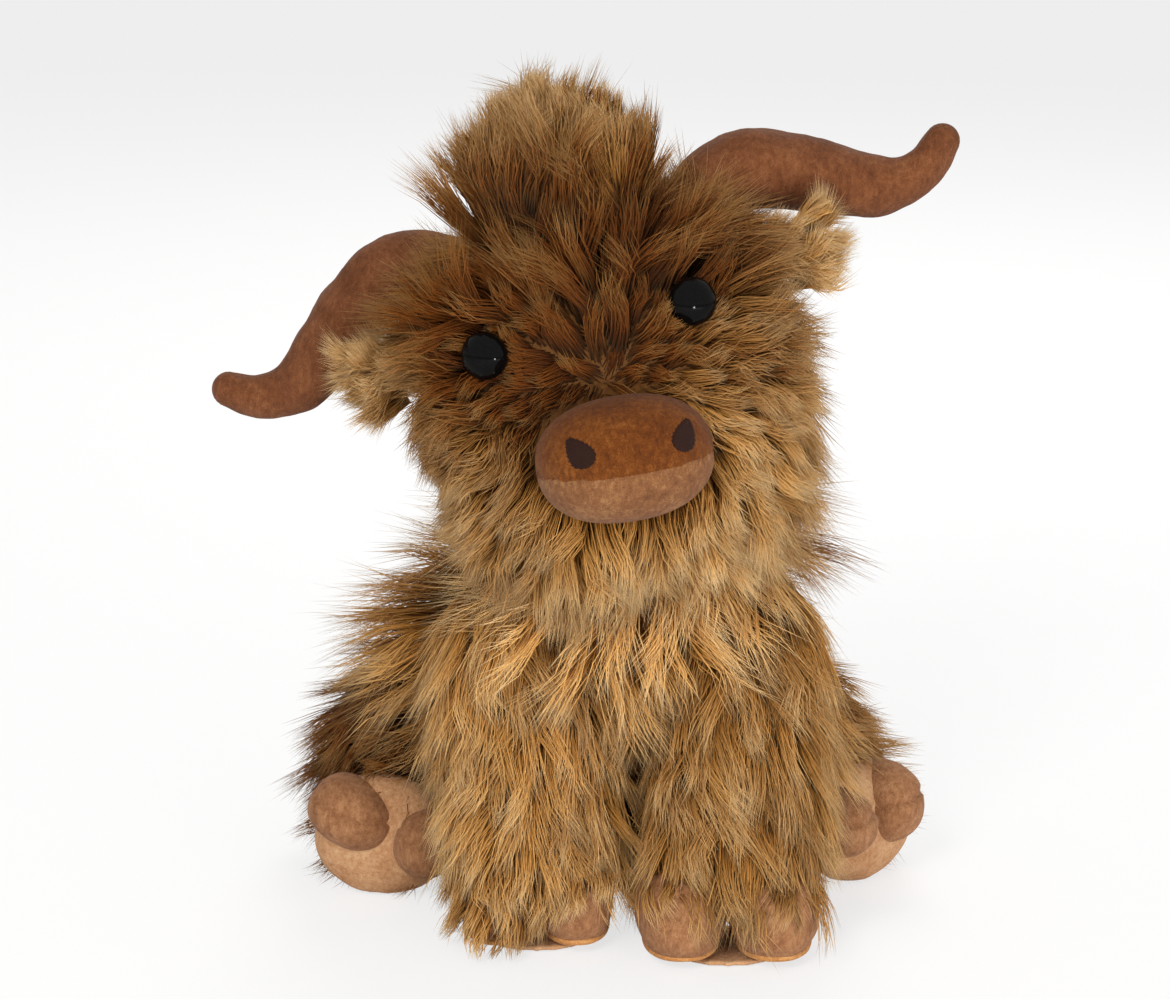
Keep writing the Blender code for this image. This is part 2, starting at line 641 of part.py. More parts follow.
deep = MUZZLE_HALF_DEPTH + OVERRUN
over_mouth = add("over_mouth_shape", *prism(mouth_outline(True), -deep, deep), parent=neck,
                 place=muzzle_centre)
under_mouth = add("under_mouth_shape", *prism(mouth_outline(False), -deep, deep), parent=neck,
                  place=muzzle_centre)
muzzle_core = add("muzzle_core_shape",
                  *superellipsoid(muzzle_half, MUZZLE_SQUARENESS, 12, 7, -VELOUR),
                  parent=neck, place=muzzle_centre)
for name, cutter, colour in (
    ("muzzle_upper", under_mouth, VELOUR_RGB), ("muzzle_lower", over_mouth, (0.46, 0.26, 0.14)),
):
    panel = add(name, *superellipsoid(muzzle_half, MUZZLE_SQUARENESS, 18, 10), parent=neck,
                place=muzzle_centre, colour=colour)
    cut(panel, cutter, muzzle_core, head_block)
muzzle_filling = add("muzzle_filling",
                     *superellipsoid(muzzle_half, MUZZLE_SQUARENESS, 12, 7, -VELOUR - PIECE_GAP),
                     parent=neck, place=muzzle_centre, colour=FILL_RGB)
cut(muzzle_filling, head_block)
carve(head, add("muzzle_hole_shape",
              *cylinder((0, -MUZZLE_HALF_DEPTH, 0), (0, MUZZLE_HALF_DEPTH + head_wall, 0),
                        MUZZLE_HOLE_RADIUS),
              parent=neck, place=muzzle_centre))

skin = add("muzzle_skin_shape", *superellipsoid(muzzle_half, MUZZLE_SQUARENESS, 18, 10, PIECE_GAP),
           parent=neck, place=muzzle_centre)
thread = add("muzzle_thread_shape",
             *superellipsoid(muzzle_half, MUZZLE_SQUARENESS, 18, 10, PIECE_GAP + NOSTRIL_THREAD),
             parent=neck, place=muzzle_centre)
for side, sign in SIDES:
    outline = []
    for i in range(14):
        turn = 2.0 * math.pi * i / 14
        inner = math.cos(turn) * -sign
        wide = NOSTRIL_HALF_WIDTH * (1.0 if inner > 0.0 else 0.8)
        outline.append((sign * NOSTRIL_SIDE + wide * math.cos(turn),
                        NOSTRIL_RISE + NOSTRIL_HALF_HEIGHT * math.sin(turn)))
    patch = add(f"nostril_{side}", *prism(outline, -deep, 0.0), parent=neck, place=muzzle_centre,
                colour=THREAD_RGB, roughness=0.6)
    keep_inside(patch, thread)
    cut(patch, skin)

# Forelock
rows = [
    ring(Vector((0, 0, FORELOCK_HEIGHT * high)), Vector((FORELOCK_HALF_WIDTH * wide, 0, 0)),
         Vector((0, FORELOCK_HALF_DEPTH * thick, 0)), 18)
    for high, wide, thick in FORELOCK_SHARES
]
forelock = add("forelock", *rings_mesh(rows), parent=neck,
               place=at_head(FORELOCK_SIDE, -FORELOCK_FORWARD, 0), colour=(0.30, 0.16, 0.07))
cut(forelock, head_block)

# Horns: velour covers over stuffing, bending at the root
horn_sets = {"left": HORN_SET_LEFT, "right": HORN_SET_RIGHT}


def horn_mesh(sign, inset, count=12):
    """A horn about its root; it leans out, rises, dips and flicks up at the tip."""
    zero = Vector((0, 0, 0))
    path = [Vector((reach * HORN_REACH, 0, lift * HORN_LIFT)) for reach, lift, _ in HORN_SHARES]
    radii = [share * HORN_RADIUS - inset for _, _, share in HORN_SHARES]
    lean = Vector((HORN_ROOT_SHARES[0], 0, HORN_ROOT_SHARES[1]))
    rows = ball_path(zero, lean, HORN_ROOT_RADIUS - inset)
    rows.append((zero, HORN_ROOT_RADIUS - inset))
    rows += list(zip(path, radii))
    rows += ball_path(path[-1], path[-1] * 2.0 - path[-2], radii[-1], back=False)
    flip = Matrix.Scale(sign, 3, Vector((1, 0, 0)))
    rings = tube_rings([r[0] for r in rows], [r[1] for r in rows], count)
    if sign < 0:
        rings = [[flip @ p for p in reversed(row)] for row in rings]
    return rings_mesh(rings)


for side, sign in SIDES:
    root = at_head(sign * HORN_SIDE, HORN_BACK, HORN_RISE)
    seat = seat_ball(HORN_ROOT_RADIUS, 14, 7)
    carve(head, add(f"horn_{side}_seat_shape", *seat, parent=neck, place=root))
    roomy = seat_ball(HORN_ROOT_RADIUS + head_wall, 10, 5)
    room_shape = add(f"horn_{side}_room_shape", *roomy, parent=neck, place=root)
    carve(head_cavity, room_shape)
    roomy = seat_ball(HORN_ROOT_RADIUS + head_wall + PIECE_GAP, 10, 5)
    carve(head_filling, add(f"horn_{side}_hollow_shape", *roomy, parent=neck, place=root))
    turn = Matrix.Translation(root) @ Matrix.Rotation(-sign * horn_sets[side], 4, "Y")
    horn = add(f"horn_cover_{side}", *horn_mesh(sign, 0.0), parent=neck, place=turn, colour=HORN_RGB)
    cut(horn, add(f"horn_{side}_core_shape", *horn_mesh(sign, VELOUR, 8), parent=neck, place=turn))
    inward = Vector((-sign * HORN_ROOT_SHARES[0], 0, -HORN_ROOT_SHARES[1]))
    hole = cylinder((0, 0, 0), inward * 2.0 * HORN_ROOT_RADIUS, HORN_ROOT_RADIUS / 3.0, 12)
    cut(horn, add(f"horn_{side}_hole_shape", *hole, parent=neck, place=turn))
    add(f"horn_filling_{side}", *horn_mesh(sign, VELOUR + PIECE_GAP, 8), parent=neck, place=turn,
        colour=FILL_RGB)

# Ears: flat leaves of fur cloth that flap about their roots
for side, sign in SIDES:
    root = at_head(sign * EAR_SIDE, -EAR_FORWARD, EAR_RISE)
    ahead = Vector((math.cos(EAR_DROOP), 0, -math.sin(EAR_DROOP)))
    rows = [(centre, radius, radius) for centre, radius in
            ball_path(Vector((0, 0, 0)), ahead, EAR_ROOT_RADIUS)]
    rows.append((Vector((0, 0, 0)), EAR_ROOT_RADIUS, EAR_ROOT_RADIUS))
    rows += [(ahead * EAR_LENGTH * way, EAR_HALF_WIDTH * wide, EAR_HALF_THICKNESS * thick)
             for way, wide, thick in EAR_SHARES]
    rings = tube_rings([r[0] for r in rows], [r[1] for r in rows], 12, [r[2] for r in rows])
    if sign < 0:
        rings = [[Vector((-p.x, p.y, p.z)) for p in reversed(row)] for row in rings]
    carve(head, add(f"ear_{side}_seat_shape", *seat_ball(EAR_ROOT_RADIUS, 10, 6), parent=neck,
                  place=root))
    roomy = seat_ball(EAR_ROOT_RADIUS + head_wall, 9, 5)
    room_shape = add(f"ear_{side}_room_shape", *roomy, parent=neck, place=root)
    carve(head_cavity, room_shape)
    roomy = seat_ball(EAR_ROOT_RADIUS + head_wall + PIECE_GAP, 9, 5)
    carve(head_filling, add(f"ear_{side}_hollow_shape", *roomy, parent=neck, place=root))
    add(f"ear_{side}", *rings_mesh(rings), parent=neck, place=root, colour=FUR)

# Front legs: fur cover, stuffing, two velour toes and a sole


def slab(x_low=-BLOCK_REACH, x_high=BLOCK_REACH, z_high=BLOCK_REACH):
    """A block that fills everything between two sides and under a level."""
    return box((x_low, -BLOCK_REACH, -BLOCK_REACH), (x_high, BLOCK_REACH, z_high))


ground = add("ground_shape", *slab(z_high=0.0))
for side, sign in SIDES:
    pivot = shoulder(sign)
    foot = front_foot(side, sign)
    leg = add(f"front_leg_{side}", *front_leg(side, sign, 0.0), place=pivot, colour=FUR)
    cut(leg, add(f"front_leg_{side}_core_shape", *front_leg(side, sign, -CLOTH, 9), place=pivot))
    inward = Vector((-sign * 2.0 * SHOULDER_RADIUS, SHOULDER_RADIUS, 0))
    hole = cylinder((0, 0, 0), inward, SHOULDER_RADIUS / 3.0, 12)
    cut(leg, add(f"front_leg_{side}_hole_shape", *hole, place=pivot))
    add(f"front_leg_filling_{side}", *front_leg(side, sign, -CLOTH - PIECE_GAP, 9), place=pivot,
        colour=FILL_RGB)
    leg_block = add(f"front_leg_{side}_block_shape", *front_leg(side, sign, PIECE_GAP), place=pivot)
    floor = SOLE_THICKNESS + PIECE_GAP
    below = add(f"front_foot_{side}_below_shape", *slab(z_high=floor))
    middle = Vector((foot.x, foot.y - TOE_FORWARD, TOE_HEIGHT / 2.0))
    for name, way in (("outer", sign), ("inner", -sign)):
        half = (TOE_HALF_WIDTH, TOE_HALF_LENGTH, TOE_HEIGHT / 2.0)
        place = middle + Vector((way * (TOE_HALF_WIDTH + PIECE_GAP / 2.0), 0, 0))
        toe = add(f"front_toe_{name}_{side}", *superellipsoid(half, 2.4, 14, 8), place=place,
                  colour=VELOUR_RGB)
        cut(toe, leg_block, below)
    half = (TOE_HALF_WIDTH * 2.0 - PIECE_GAP, TOE_HALF_LENGTH - PIECE_GAP)
    rings = [ring(Vector((0, 0, z)), Vector((half[0] * 0.8, 0, 0)), Vector((0, half[1] * 0.8, 0)), 20)
             for z in (0.0, SOLE_THICKNESS)]
    add(f"front_sole_{side}", *rings_mesh(rings), place=Vector((middle.x, middle.y, 0)),
        colour=(0.55, 0.33, 0.18))

# Hind legs: thigh and shank in one fur cover, padded sole and two toes
for side, sign in SIDES:
    pivot = hip(side, sign)
    level = Vector((sign * math.sin(splays[side]), -math.cos(splays[side]), 0))
    ankle = level * hind_reaches[side] + Vector((0, 0, HIND_ANKLE_HEIGHT - HIP_HEIGHT))
    beside = sign * (SEAT_HALF_WIDTH + SIDE_CLEARANCE) - BODY_SWAY
    outside = add(f"hind_leg_{side}_side_shape", *slab(*sorted((beside, sign * BLOCK_REACH))))

    def hind_leg(grow, count=14):
        rows = [(Vector((0, 0, 0)), HIND_LEG_SHARES[0][1] * THIGH_RADIUS * 0.9 + grow)]
        rows += [(ankle * way, share * THIGH_RADIUS + grow) for way, share in HIND_LEG_SHARES]
        rows = ball_path(rows[0][0], ankle, rows[0][1]) + rows
        rows += ball_path(ankle, ankle * 2.0, rows[-1][1], back=False)
        return rings_mesh(tube_rings([r[0] for r in rows], [r[1] for r in rows], count,
                                     hint=Vector((0, 0, 1))))

    def hind_shape(name, grow, colour=None):
        leg = add(name, *hind_leg(grow, 9 if grow < 0.0 else 14), place=pivot, colour=colour)
        if grow:
            inner = sign * (SEAT_HALF_WIDTH + SIDE_CLEARANCE - grow) - BODY_SWAY
            wall = slab(*sorted((inner, sign * BLOCK_REACH)))
            keep_inside(leg, add(f"{name}_side", *wall))
        else:
            keep_inside(leg, outside)
        facets = (10, 5) if grow < 0.0 else (14, 7)
        join(leg, add(f"{name}_ball", *ball(HIP_RADIUS + grow, *facets), place=pivot))
        return leg

    leg = hind_shape(f"hind_leg_{side}", 0.0, FUR)
    cut(leg, hind_shape(f"hind_leg_{side}_core_shape", -CLOTH))
    hole = cylinder((0, 0, 0), Vector((-sign * 2.0 * HIP_RADIUS, 0, 0)), HIP_RADIUS / 3.0, 12)
    cut(leg, add(f"hind_leg_{side}_hole_shape", *hole, place=pivot))
    hind_shape(f"hind_leg_filling_{side}", -CLOTH - PIECE_GAP, FILL_RGB)
    block = hind_shape(f"hind_leg_{side}_block_shape", PIECE_GAP)
    turn = Matrix.Rotation(sign * turns[side], 4, "Z")
    heel = pivot + ankle + level * PAD_FORWARD
    heel.z = PAD_HALF_HEIGHT - FLAT_CUT
    pad_half = (PAD_HALF_WIDTH, PAD_HALF_DEPTH, PAD_HALF_HEIGHT)
    pad = add(f"hind_sole_{side}", *superellipsoid(pad_half, 2.3, 16, 9),
              place=Matrix.Translation(heel) @ turn, colour=(0.55, 0.33, 0.18))
    cut(pad, block, ground)
    pad_block = add(f"hind_sole_{side}_block_shape", *superellipsoid(pad_half, 2.3, 16, 9, PIECE_GAP),
                    place=Matrix.Translation(heel) @ turn)
    for name, way in (("outer", sign), ("inner", -sign)):
        half = toe_halves[f"{name}_{side}"]
        rolled = turn @ Matrix.Rotation(-sign * rolls[side], 4, "Y")
        spot = pivot + ankle + level * PAD_FORWARD + Vector((0, 0, HIND_TOE_RISE))
        beside_pad = way * (half[0] + PIECE_GAP / 2.0) - sign * toe_shifts[side]
        spot += rolled @ Vector((beside_pad, -HIND_TOE_AHEAD, 0))
        toe = add(f"hind_toe_{name}_{side}", *superellipsoid(half, 2.2, 14, 7),
                  place=Matrix.Translation(spot) @ rolled, colour=VELOUR_RGB)
        carve(toe, pad_block, block)

# Tail: thin fur tube ending in a tuft
path = [Vector((0, TAIL_REACH * s, -TAIL_DROP * (1.0 - math.cos(s * math.pi / 2)))) for s in
        (0.25, 0.5, 0.75, 1.0)]
rows = ball_path(Vector((0, 0, 0)), Vector((0, 1.0, 0)), TAIL_ROOT_RADIUS)
rows += [(Vector((0, 0, 0)), TAIL_ROOT_RADIUS)]
rows += [(p, TAIL_RADIUS) for p in path]
add("tail", *rings_mesh(tube_rings([r[0] for r in rows], [r[1] for r in rows], 12,
                                   hint=Vector((1, 0, 0)))), place=tail_root, colour=FUR)
ahead = (path[-1] - path[-2]).normalized()
start = path[-1] + ahead * PIECE_GAP
rows = [(start + ahead * TUFT_LENGTH * way, TUFT_RADIUS * wide) for way, wide in TUFT_SHARES]
add("tail_tuft", *rings_mesh(tube_rings([r[0] for r in rows], [r[1] for r in rows], 12,
                                        hint=Vector((1, 0, 0)))), place=tail_root,
    colour=(0.36, 0.2, 0.09))
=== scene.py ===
"""A sitting long-haired plush cow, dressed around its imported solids."""
import json
import math

import bmesh
import bpy
import numpy as np
from mathutils import Matrix, Vector, noise


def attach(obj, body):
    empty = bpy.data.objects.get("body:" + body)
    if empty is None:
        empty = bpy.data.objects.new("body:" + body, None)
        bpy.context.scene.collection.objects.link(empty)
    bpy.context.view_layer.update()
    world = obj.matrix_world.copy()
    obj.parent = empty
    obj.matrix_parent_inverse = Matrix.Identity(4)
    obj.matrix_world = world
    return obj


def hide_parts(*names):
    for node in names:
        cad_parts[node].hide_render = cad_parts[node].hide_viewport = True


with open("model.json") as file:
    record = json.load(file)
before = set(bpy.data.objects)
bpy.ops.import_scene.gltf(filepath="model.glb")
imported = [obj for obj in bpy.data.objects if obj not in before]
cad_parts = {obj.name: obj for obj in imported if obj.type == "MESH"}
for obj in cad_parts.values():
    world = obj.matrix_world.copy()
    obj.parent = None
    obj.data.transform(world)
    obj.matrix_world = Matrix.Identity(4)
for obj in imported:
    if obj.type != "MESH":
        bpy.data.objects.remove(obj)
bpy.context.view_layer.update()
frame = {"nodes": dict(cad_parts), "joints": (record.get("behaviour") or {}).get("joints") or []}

# ---------------------------------------------------------------------------
# Studio: a camera a little above the toy and a pale floor that keeps its soft
# shadow.  Three broad lamps light it; a small low one glints in the eyes.
# ---------------------------------------------------------------------------
CAMERA_TARGET = Vector((-0.015, -0.065, 0.141))
CAMERA_DISTANCE = 1.2
CAMERA_RISE = math.radians(15.0)
camera = bpy.data.objects.new("camera", bpy.data.cameras.new("camera"))
camera.data.sensor_width = 36.0
camera.data.lens = 115.4
camera.data.clip_start = 0.05
camera.location = CAMERA_TARGET + CAMERA_DISTANCE * Vector(
    (0.0, -math.cos(CAMERA_RISE), math.sin(CAMERA_RISE)))
camera.rotation_euler = (math.pi / 2 - CAMERA_RISE, 0.0, 0.0)
bpy.context.scene.collection.objects.link(camera)
bpy.context.scene.camera = camera
bpy.context.scene.view_settings.view_transform = "Standard"

LAMPS = (  # name, place, width, watts, colour
    ("catch_lamp", (0.42, -1.15, 0.05), 0.12, 3.0, (1.0, 1.0, 1.0)),
    ("key_lamp", (-0.42, -1.25, 0.95), 0.5, 12.5, (1.0, 0.98, 0.95)),
    ("fill_lamp", (0.75, -1.05, 0.16), 0.6, 6.5, (1.0, 0.98, 0.96)),
    ("back_lamp", (0.15, 0.95, 1.0), 0.8, 9.0, (1.0, 0.98, 0.96)),
)
for name, place, width, watts, colour in LAMPS:
    lamp = bpy.data.objects.new(name, bpy.data.lights.new(name, "AREA"))
    lamp.data.shape = "DISK"
    lamp.data.size = width
    lamp.data.energy = watts
    lamp.data.color = colour
    lamp.visible_glossy = name == "catch_lamp"
    lamp.location = place
    lamp.rotation_euler = (Vector(place) - CAMERA_TARGET).to_track_quat("Z", "Y").to_euler()
    bpy.context.scene.collection.objects.link(lamp)


class Wire:
    """A node's socket in arithmetic: numbers go through Math, vectors through Vector Math."""

    def __init__(self, graph, socket):
        self.graph, self.socket = graph, socket

    def out(self, name):
        """Another output of the same node."""
        return Wire(self.graph, open_socket(self.socket.node.outputs, name))

    def maths(self, operation, a, b):
        vector = [x.socket.type == "VECTOR" if isinstance(x, Wire) else isinstance(x, tuple)
                  for x in (a, b)]
        if all(vector):
            return self.graph.vector(operation, a, b)
        if not any(vector):
            return self.graph.number(operation, a, b)
        line, share = (a, b) if vector[0] else (b, a)
        return self.graph.vector("SCALE", line, Scale=share)


for sign_name, operation in (("add", "ADD"), ("sub", "SUBTRACT"), ("mul", "MULTIPLY"),
                             ("pow", "POWER")):
    setattr(Wire, f"__{sign_name}__",
            lambda self, other, does=operation: self.maths(does, self, other))
    setattr(Wire, f"__r{sign_name}__",
            lambda self, other, does=operation: self.maths(does, other, self))


def open_socket(sockets, name=None):
    """The first socket in use, or the first one in use with that name."""
    return next(s for s in sockets if s.enabled and name in (None, s.name))


class Graph:
    """A node tree that is written down as expressions."""

    def __init__(self, tree):
        self.tree = tree

    def node(self, kind, settings, *values, **named):
        """Adds a node: its settings first, then its values in order or by socket name."""
        made = self.tree.nodes.new(kind)
        for key, value in settings.items():
            if key == "stops":
                while len(made.color_ramp.elements) < len(value):
                    made.color_ramp.elements.new(0.5)
                for element, (place, colour) in zip(made.color_ramp.elements, value):
                    element.position, element.color = place, colour
            else:
                setattr(made, key, value)
        sockets = [s for s in made.inputs if s.enabled]
        pairs = list(zip(sockets, values))
        pairs += [(open_socket(made.inputs, key.replace("_", " ")), v) for key, v in named.items()]
        for socket, value in pairs:
            if isinstance(value, Wire):
                self.tree.links.new(value.socket, socket)
            elif value is not None:
                socket.default_value = value
        shown = [s for s in made.outputs if s.enabled]
        return Wire(self, shown[0]) if shown else made

    def number(self, operation, *values):
        return self.node("ShaderNodeMath", {"operation": operation}, *values)

    def vector(self, operation, *values, **named):
        return self.node("ShaderNodeVectorMath", {"operation": operation}, *values, **named)

    def unit(self, line):
        return self.vector("NORMALIZE", line)

    def cross(self, a, b):
        return self.vector("CROSS_PRODUCT", a, b)

    def parts(self, line):
        return self.node("ShaderNodeSeparateXYZ", {}, line)

    def noise(self, spot, scale, detail, **more):
        return self.node("ShaderNodeTexNoise", {}, spot, Scale=scale, Detail=detail, **more)

    def clamp(self, value, low=0.0, high=1.0):
        return self.node("ShaderNodeClamp", {}, value, low, high)

    def mix(self, share, a, b):
        return self.node("ShaderNodeMix", {"data_type": "RGBA"}, share, a, b)


def paint(name):
    """A fresh material, its graph, its one Principled shader and the place on the piece."""
    made = bpy.data.materials.new(name)
    made.use_nodes = True
    graph = Graph(made.node_tree)
    spot = graph.node("ShaderNodeTexCoord", {}).out("Object")
    return made, graph, made.node_tree.nodes["Principled BSDF"], spot


def give(graph, shader, **settings):
    """Sets a shader's sockets: what varies over the piece is linked, the rest is a value."""
    for key, value in settings.items():
        socket = shader.inputs[key.replace("_", " ")]
        if isinstance(value, Wire):
            graph.tree.links.new(value.socket, socket)
        else:
            socket.default_value = value


def rgb(code):
    """A colour written as hex, as light and with full cover."""
    parts = [int(code[i:i + 2], 16) / 255.0 for i in (0, 2, 4)]
    light = [p / 12.92 if p < 0.04045 else ((p + 0.055) / 1.055) ** 2.4 for p in parts]
    return (*light, 1.0)


FLOOR_SIZE = 6.0
FLOOR_DROP = -0.0006
floor_mesh = bpy.data.meshes.new("floor")
floor_mesh.from_pydata([(x * FLOOR_SIZE, y * FLOOR_SIZE, FLOOR_DROP)
                        for x, y in ((-1, -1), (1, -1), (1, 1), (-1, 1))], [], [(0, 1, 2, 3)])
floor = bpy.data.objects.new("floor", floor_mesh)
bpy.context.scene.collection.objects.link(floor)
floor_paint, graph, shader, spot = paint("floor_white")
give(graph, shader, Base_Color=(0.93, 0.93, 0.93, 1.0), Roughness=0.9)
rays = graph.node("ShaderNodeLightPath", {})
glow = graph.node("ShaderNodeEmission", {}, (1.0, 1.0, 1.0, 1.0), 1.0)
both = graph.node("ShaderNodeMixShader", {}, rays * 0.72, Wire(graph, shader.outputs[0]), glow)
floor_paint.node_tree.links.new(
    both.socket, floor_paint.node_tree.nodes["Material Output"].inputs["Surface"])
floor_mesh.materials.append(floor_paint)

world = bpy.data.worlds.new("studio")
bpy.context.scene.world = world
world.use_nodes = True
graph = Graph(world.node_tree)
rays = graph.node("ShaderNodeLightPath", {})
seen = rays
for kind in ("Is Glossy Ray", "Is Transmission Ray"):
    seen = graph.number("MAXIMUM", seen, rays.out(kind))
backdrop = world.node_tree.nodes["Background"]
backdrop.inputs["Color"].default_value = (1.0, 1.0, 1.0, 1.0)
world.node_tree.links.new((seen * 0.55 + 0.45).socket, backdrop.inputs["Strength"])

# ---------------------------------------------------------------------------
# Body: a bag of long-pile fur cloth over loose fibre, with a pellet pouch in
# its seat.  The knitted back of the cloth is the skin; the pile is on it as
# locks of tapering hairs, dark at the root and pale at the tip.
# ---------------------------------------------------------------------------


def bag(name, *nodes, voxel=0.002, rounds=10, inset=0.0):
    """One closed, smoothed skin over copies of the named solids, drawn in by the pile's foot."""
    joined = bmesh.new()
    for node in nodes:
        joined.from_mesh(frame["nodes"][node].data)
    bmesh.ops.remove_doubles(joined, verts=joined.verts, dist=1e-6)
    mesh = bpy.data.meshes.new(name)
    joined.to_mesh(mesh)
    joined.free()
    skin = bpy.data.objects.new(name, mesh)
    bpy.context.scene.collection.objects.link(skin)
    cloth = skin.modifiers.new("cloth", "REMESH")
    cloth.mode, cloth.voxel_size = "VOXEL", voxel
    ease = skin.modifiers.new("ease", "SMOOTH")
    ease.factor, ease.iterations = 0.5, rounds
    settle(skin)
    whole = bmesh.new()
    whole.from_mesh(skin.data)
    left, groups = set(whole.verts), []
    while left:
        edge = [left.pop()]
        group = set(edge)
        while edge:
            near = {e.other_vert(v) for v in edge for e in v.link_edges} & left
            left -= near
            group |= near
            edge = list(near)
        groups.append(group)
    outer = max(groups, key=len)
    bmesh.ops.delete(whole, geom=[v for v in whole.verts if v not in outer], context="VERTS")
    whole.normal_update()
    for vertex in whole.verts:
        vertex.co -= vertex.normal * inset
    whole.to_mesh(skin.data)
    whole.free()
    skin.data.shade_smooth()
    return skin


def settle(thing):
    """Turns a piece's modifiers into its plain mesh."""
    bpy.context.view_layer.update()
    done = bpy.data.meshes.new_from_object(
        thing.evaluated_get(bpy.context.evaluated_depsgraph_get()))
    thing.modifiers.clear()
    thing.data = done
    done.name = thing.name


def surface(skin):
    """The places and outward directions of a skin's points."""
    count = len(skin.data.vertices)
    spots, normals = np.empty(count * 3), np.empty(count * 3)
    skin.data.vertices.foreach_get("co", spots)
    skin.data.vertices.foreach_get("normal", normals)
    return spots.reshape(-1, 3), normals.reshape(-1, 3)


def move(skin, spots):
    """Puts a skin's points at new places."""
    for vertex, spot in zip(skin.data.vertices, spots):
        vertex.co = spot


def unit_rows(lines):
    """Rows of three brought to length one."""
    return lines / np.maximum(np.linalg.norm(lines, axis=1), 1e-9)[:, None]


def comb(skin, flow, length, tone, rise=0.45, lie=0.0, cover=1.0):
    """Writes on a skin how its pile lies: direction, length, tone, rise at root and tip."""
    count = len(skin.data.vertices)
    flow = unit_rows(np.broadcast_to(np.asarray(flow, float), (count, 3)))
    held = skin.data.attributes.new("flow", "FLOAT_VECTOR", "POINT")
    held.data.foreach_set("vector", flow.astype(np.float32).ravel())
    for label, value in (("length", length), ("tone", tone), ("rise", rise), ("lie", lie),
                         ("cover", cover)):
        held = skin.data.attributes.new(label, "FLOAT", "POINT")
        held.data.foreach_set("value", np.broadcast_to(value, count).astype(np.float32))


def hair_paint(name, dark, light):
    """Hair colour from the strand's own map: across it is tone, up it is root to tip."""
    made, graph, shader, _ = paint(name)
    place = graph.node("ShaderNodeUVMap", {"uv_map": "OFBake"})
    tone = graph.parts(place)
    low, high = (
        graph.node("ShaderNodeValToRGB", {"stops": [(s, rgb(c)) for s, c in ramp]}, tone.out("Y"))
        for ramp in (dark, light))
    give(graph, shader, Base_Color=graph.mix(tone, low, high), Roughness=0.7,
         Specular_IOR_Level=0.12, Sheen_Weight=0.06, Sheen_Tint=(1.0, 0.72, 0.42, 1.0),
         Sheen_Roughness=0.4)
    return made


def skin_paint(name, dark, light):
    """The knitted ground of fur cloth under short wool, with the fine rows of its loops."""
    made, graph, shader, spot = paint(name)
    rows = graph.noise(spot, 900.0, 2.0)
    bump = graph.node("ShaderNodeBump", {}, Strength=0.4, Distance=0.0004, Height=rows)
    give(graph, shader, Base_Color=graph.mix(rows, rgb(dark), rgb(light)), Normal=bump,
         Roughness=0.95)
    return made


fur_hair = hair_paint(
    "long_pile",
    ((0.0, "230c03"), (0.3, "411c05"), (0.65, "6c370a"), (1.0, "a67c44")),
    ((0.0, "8f5b21"), (0.3, "ce9145"), (0.65, "eebb72"), (1.0, "fde4b6")),
)
fur_ground = skin_paint("fur_ground", "644020", "a17640")
dark_ground = skin_paint("dark_ground", "2c1407", "5c3414")
face_ground = skin_paint("face_ground", "3a1f0b", "6e481f")


FULL_TURN = 6.283
HAIR_TURNS = 0.75
MOST_LOCKS = 3.0e5
# hair that ends under the floor is raised to this height, its palest strands on top
GROUND_HEIGHT, GROUND_SPREAD, GROUND_THICK = 0.0006, 0.0022, 0.0002


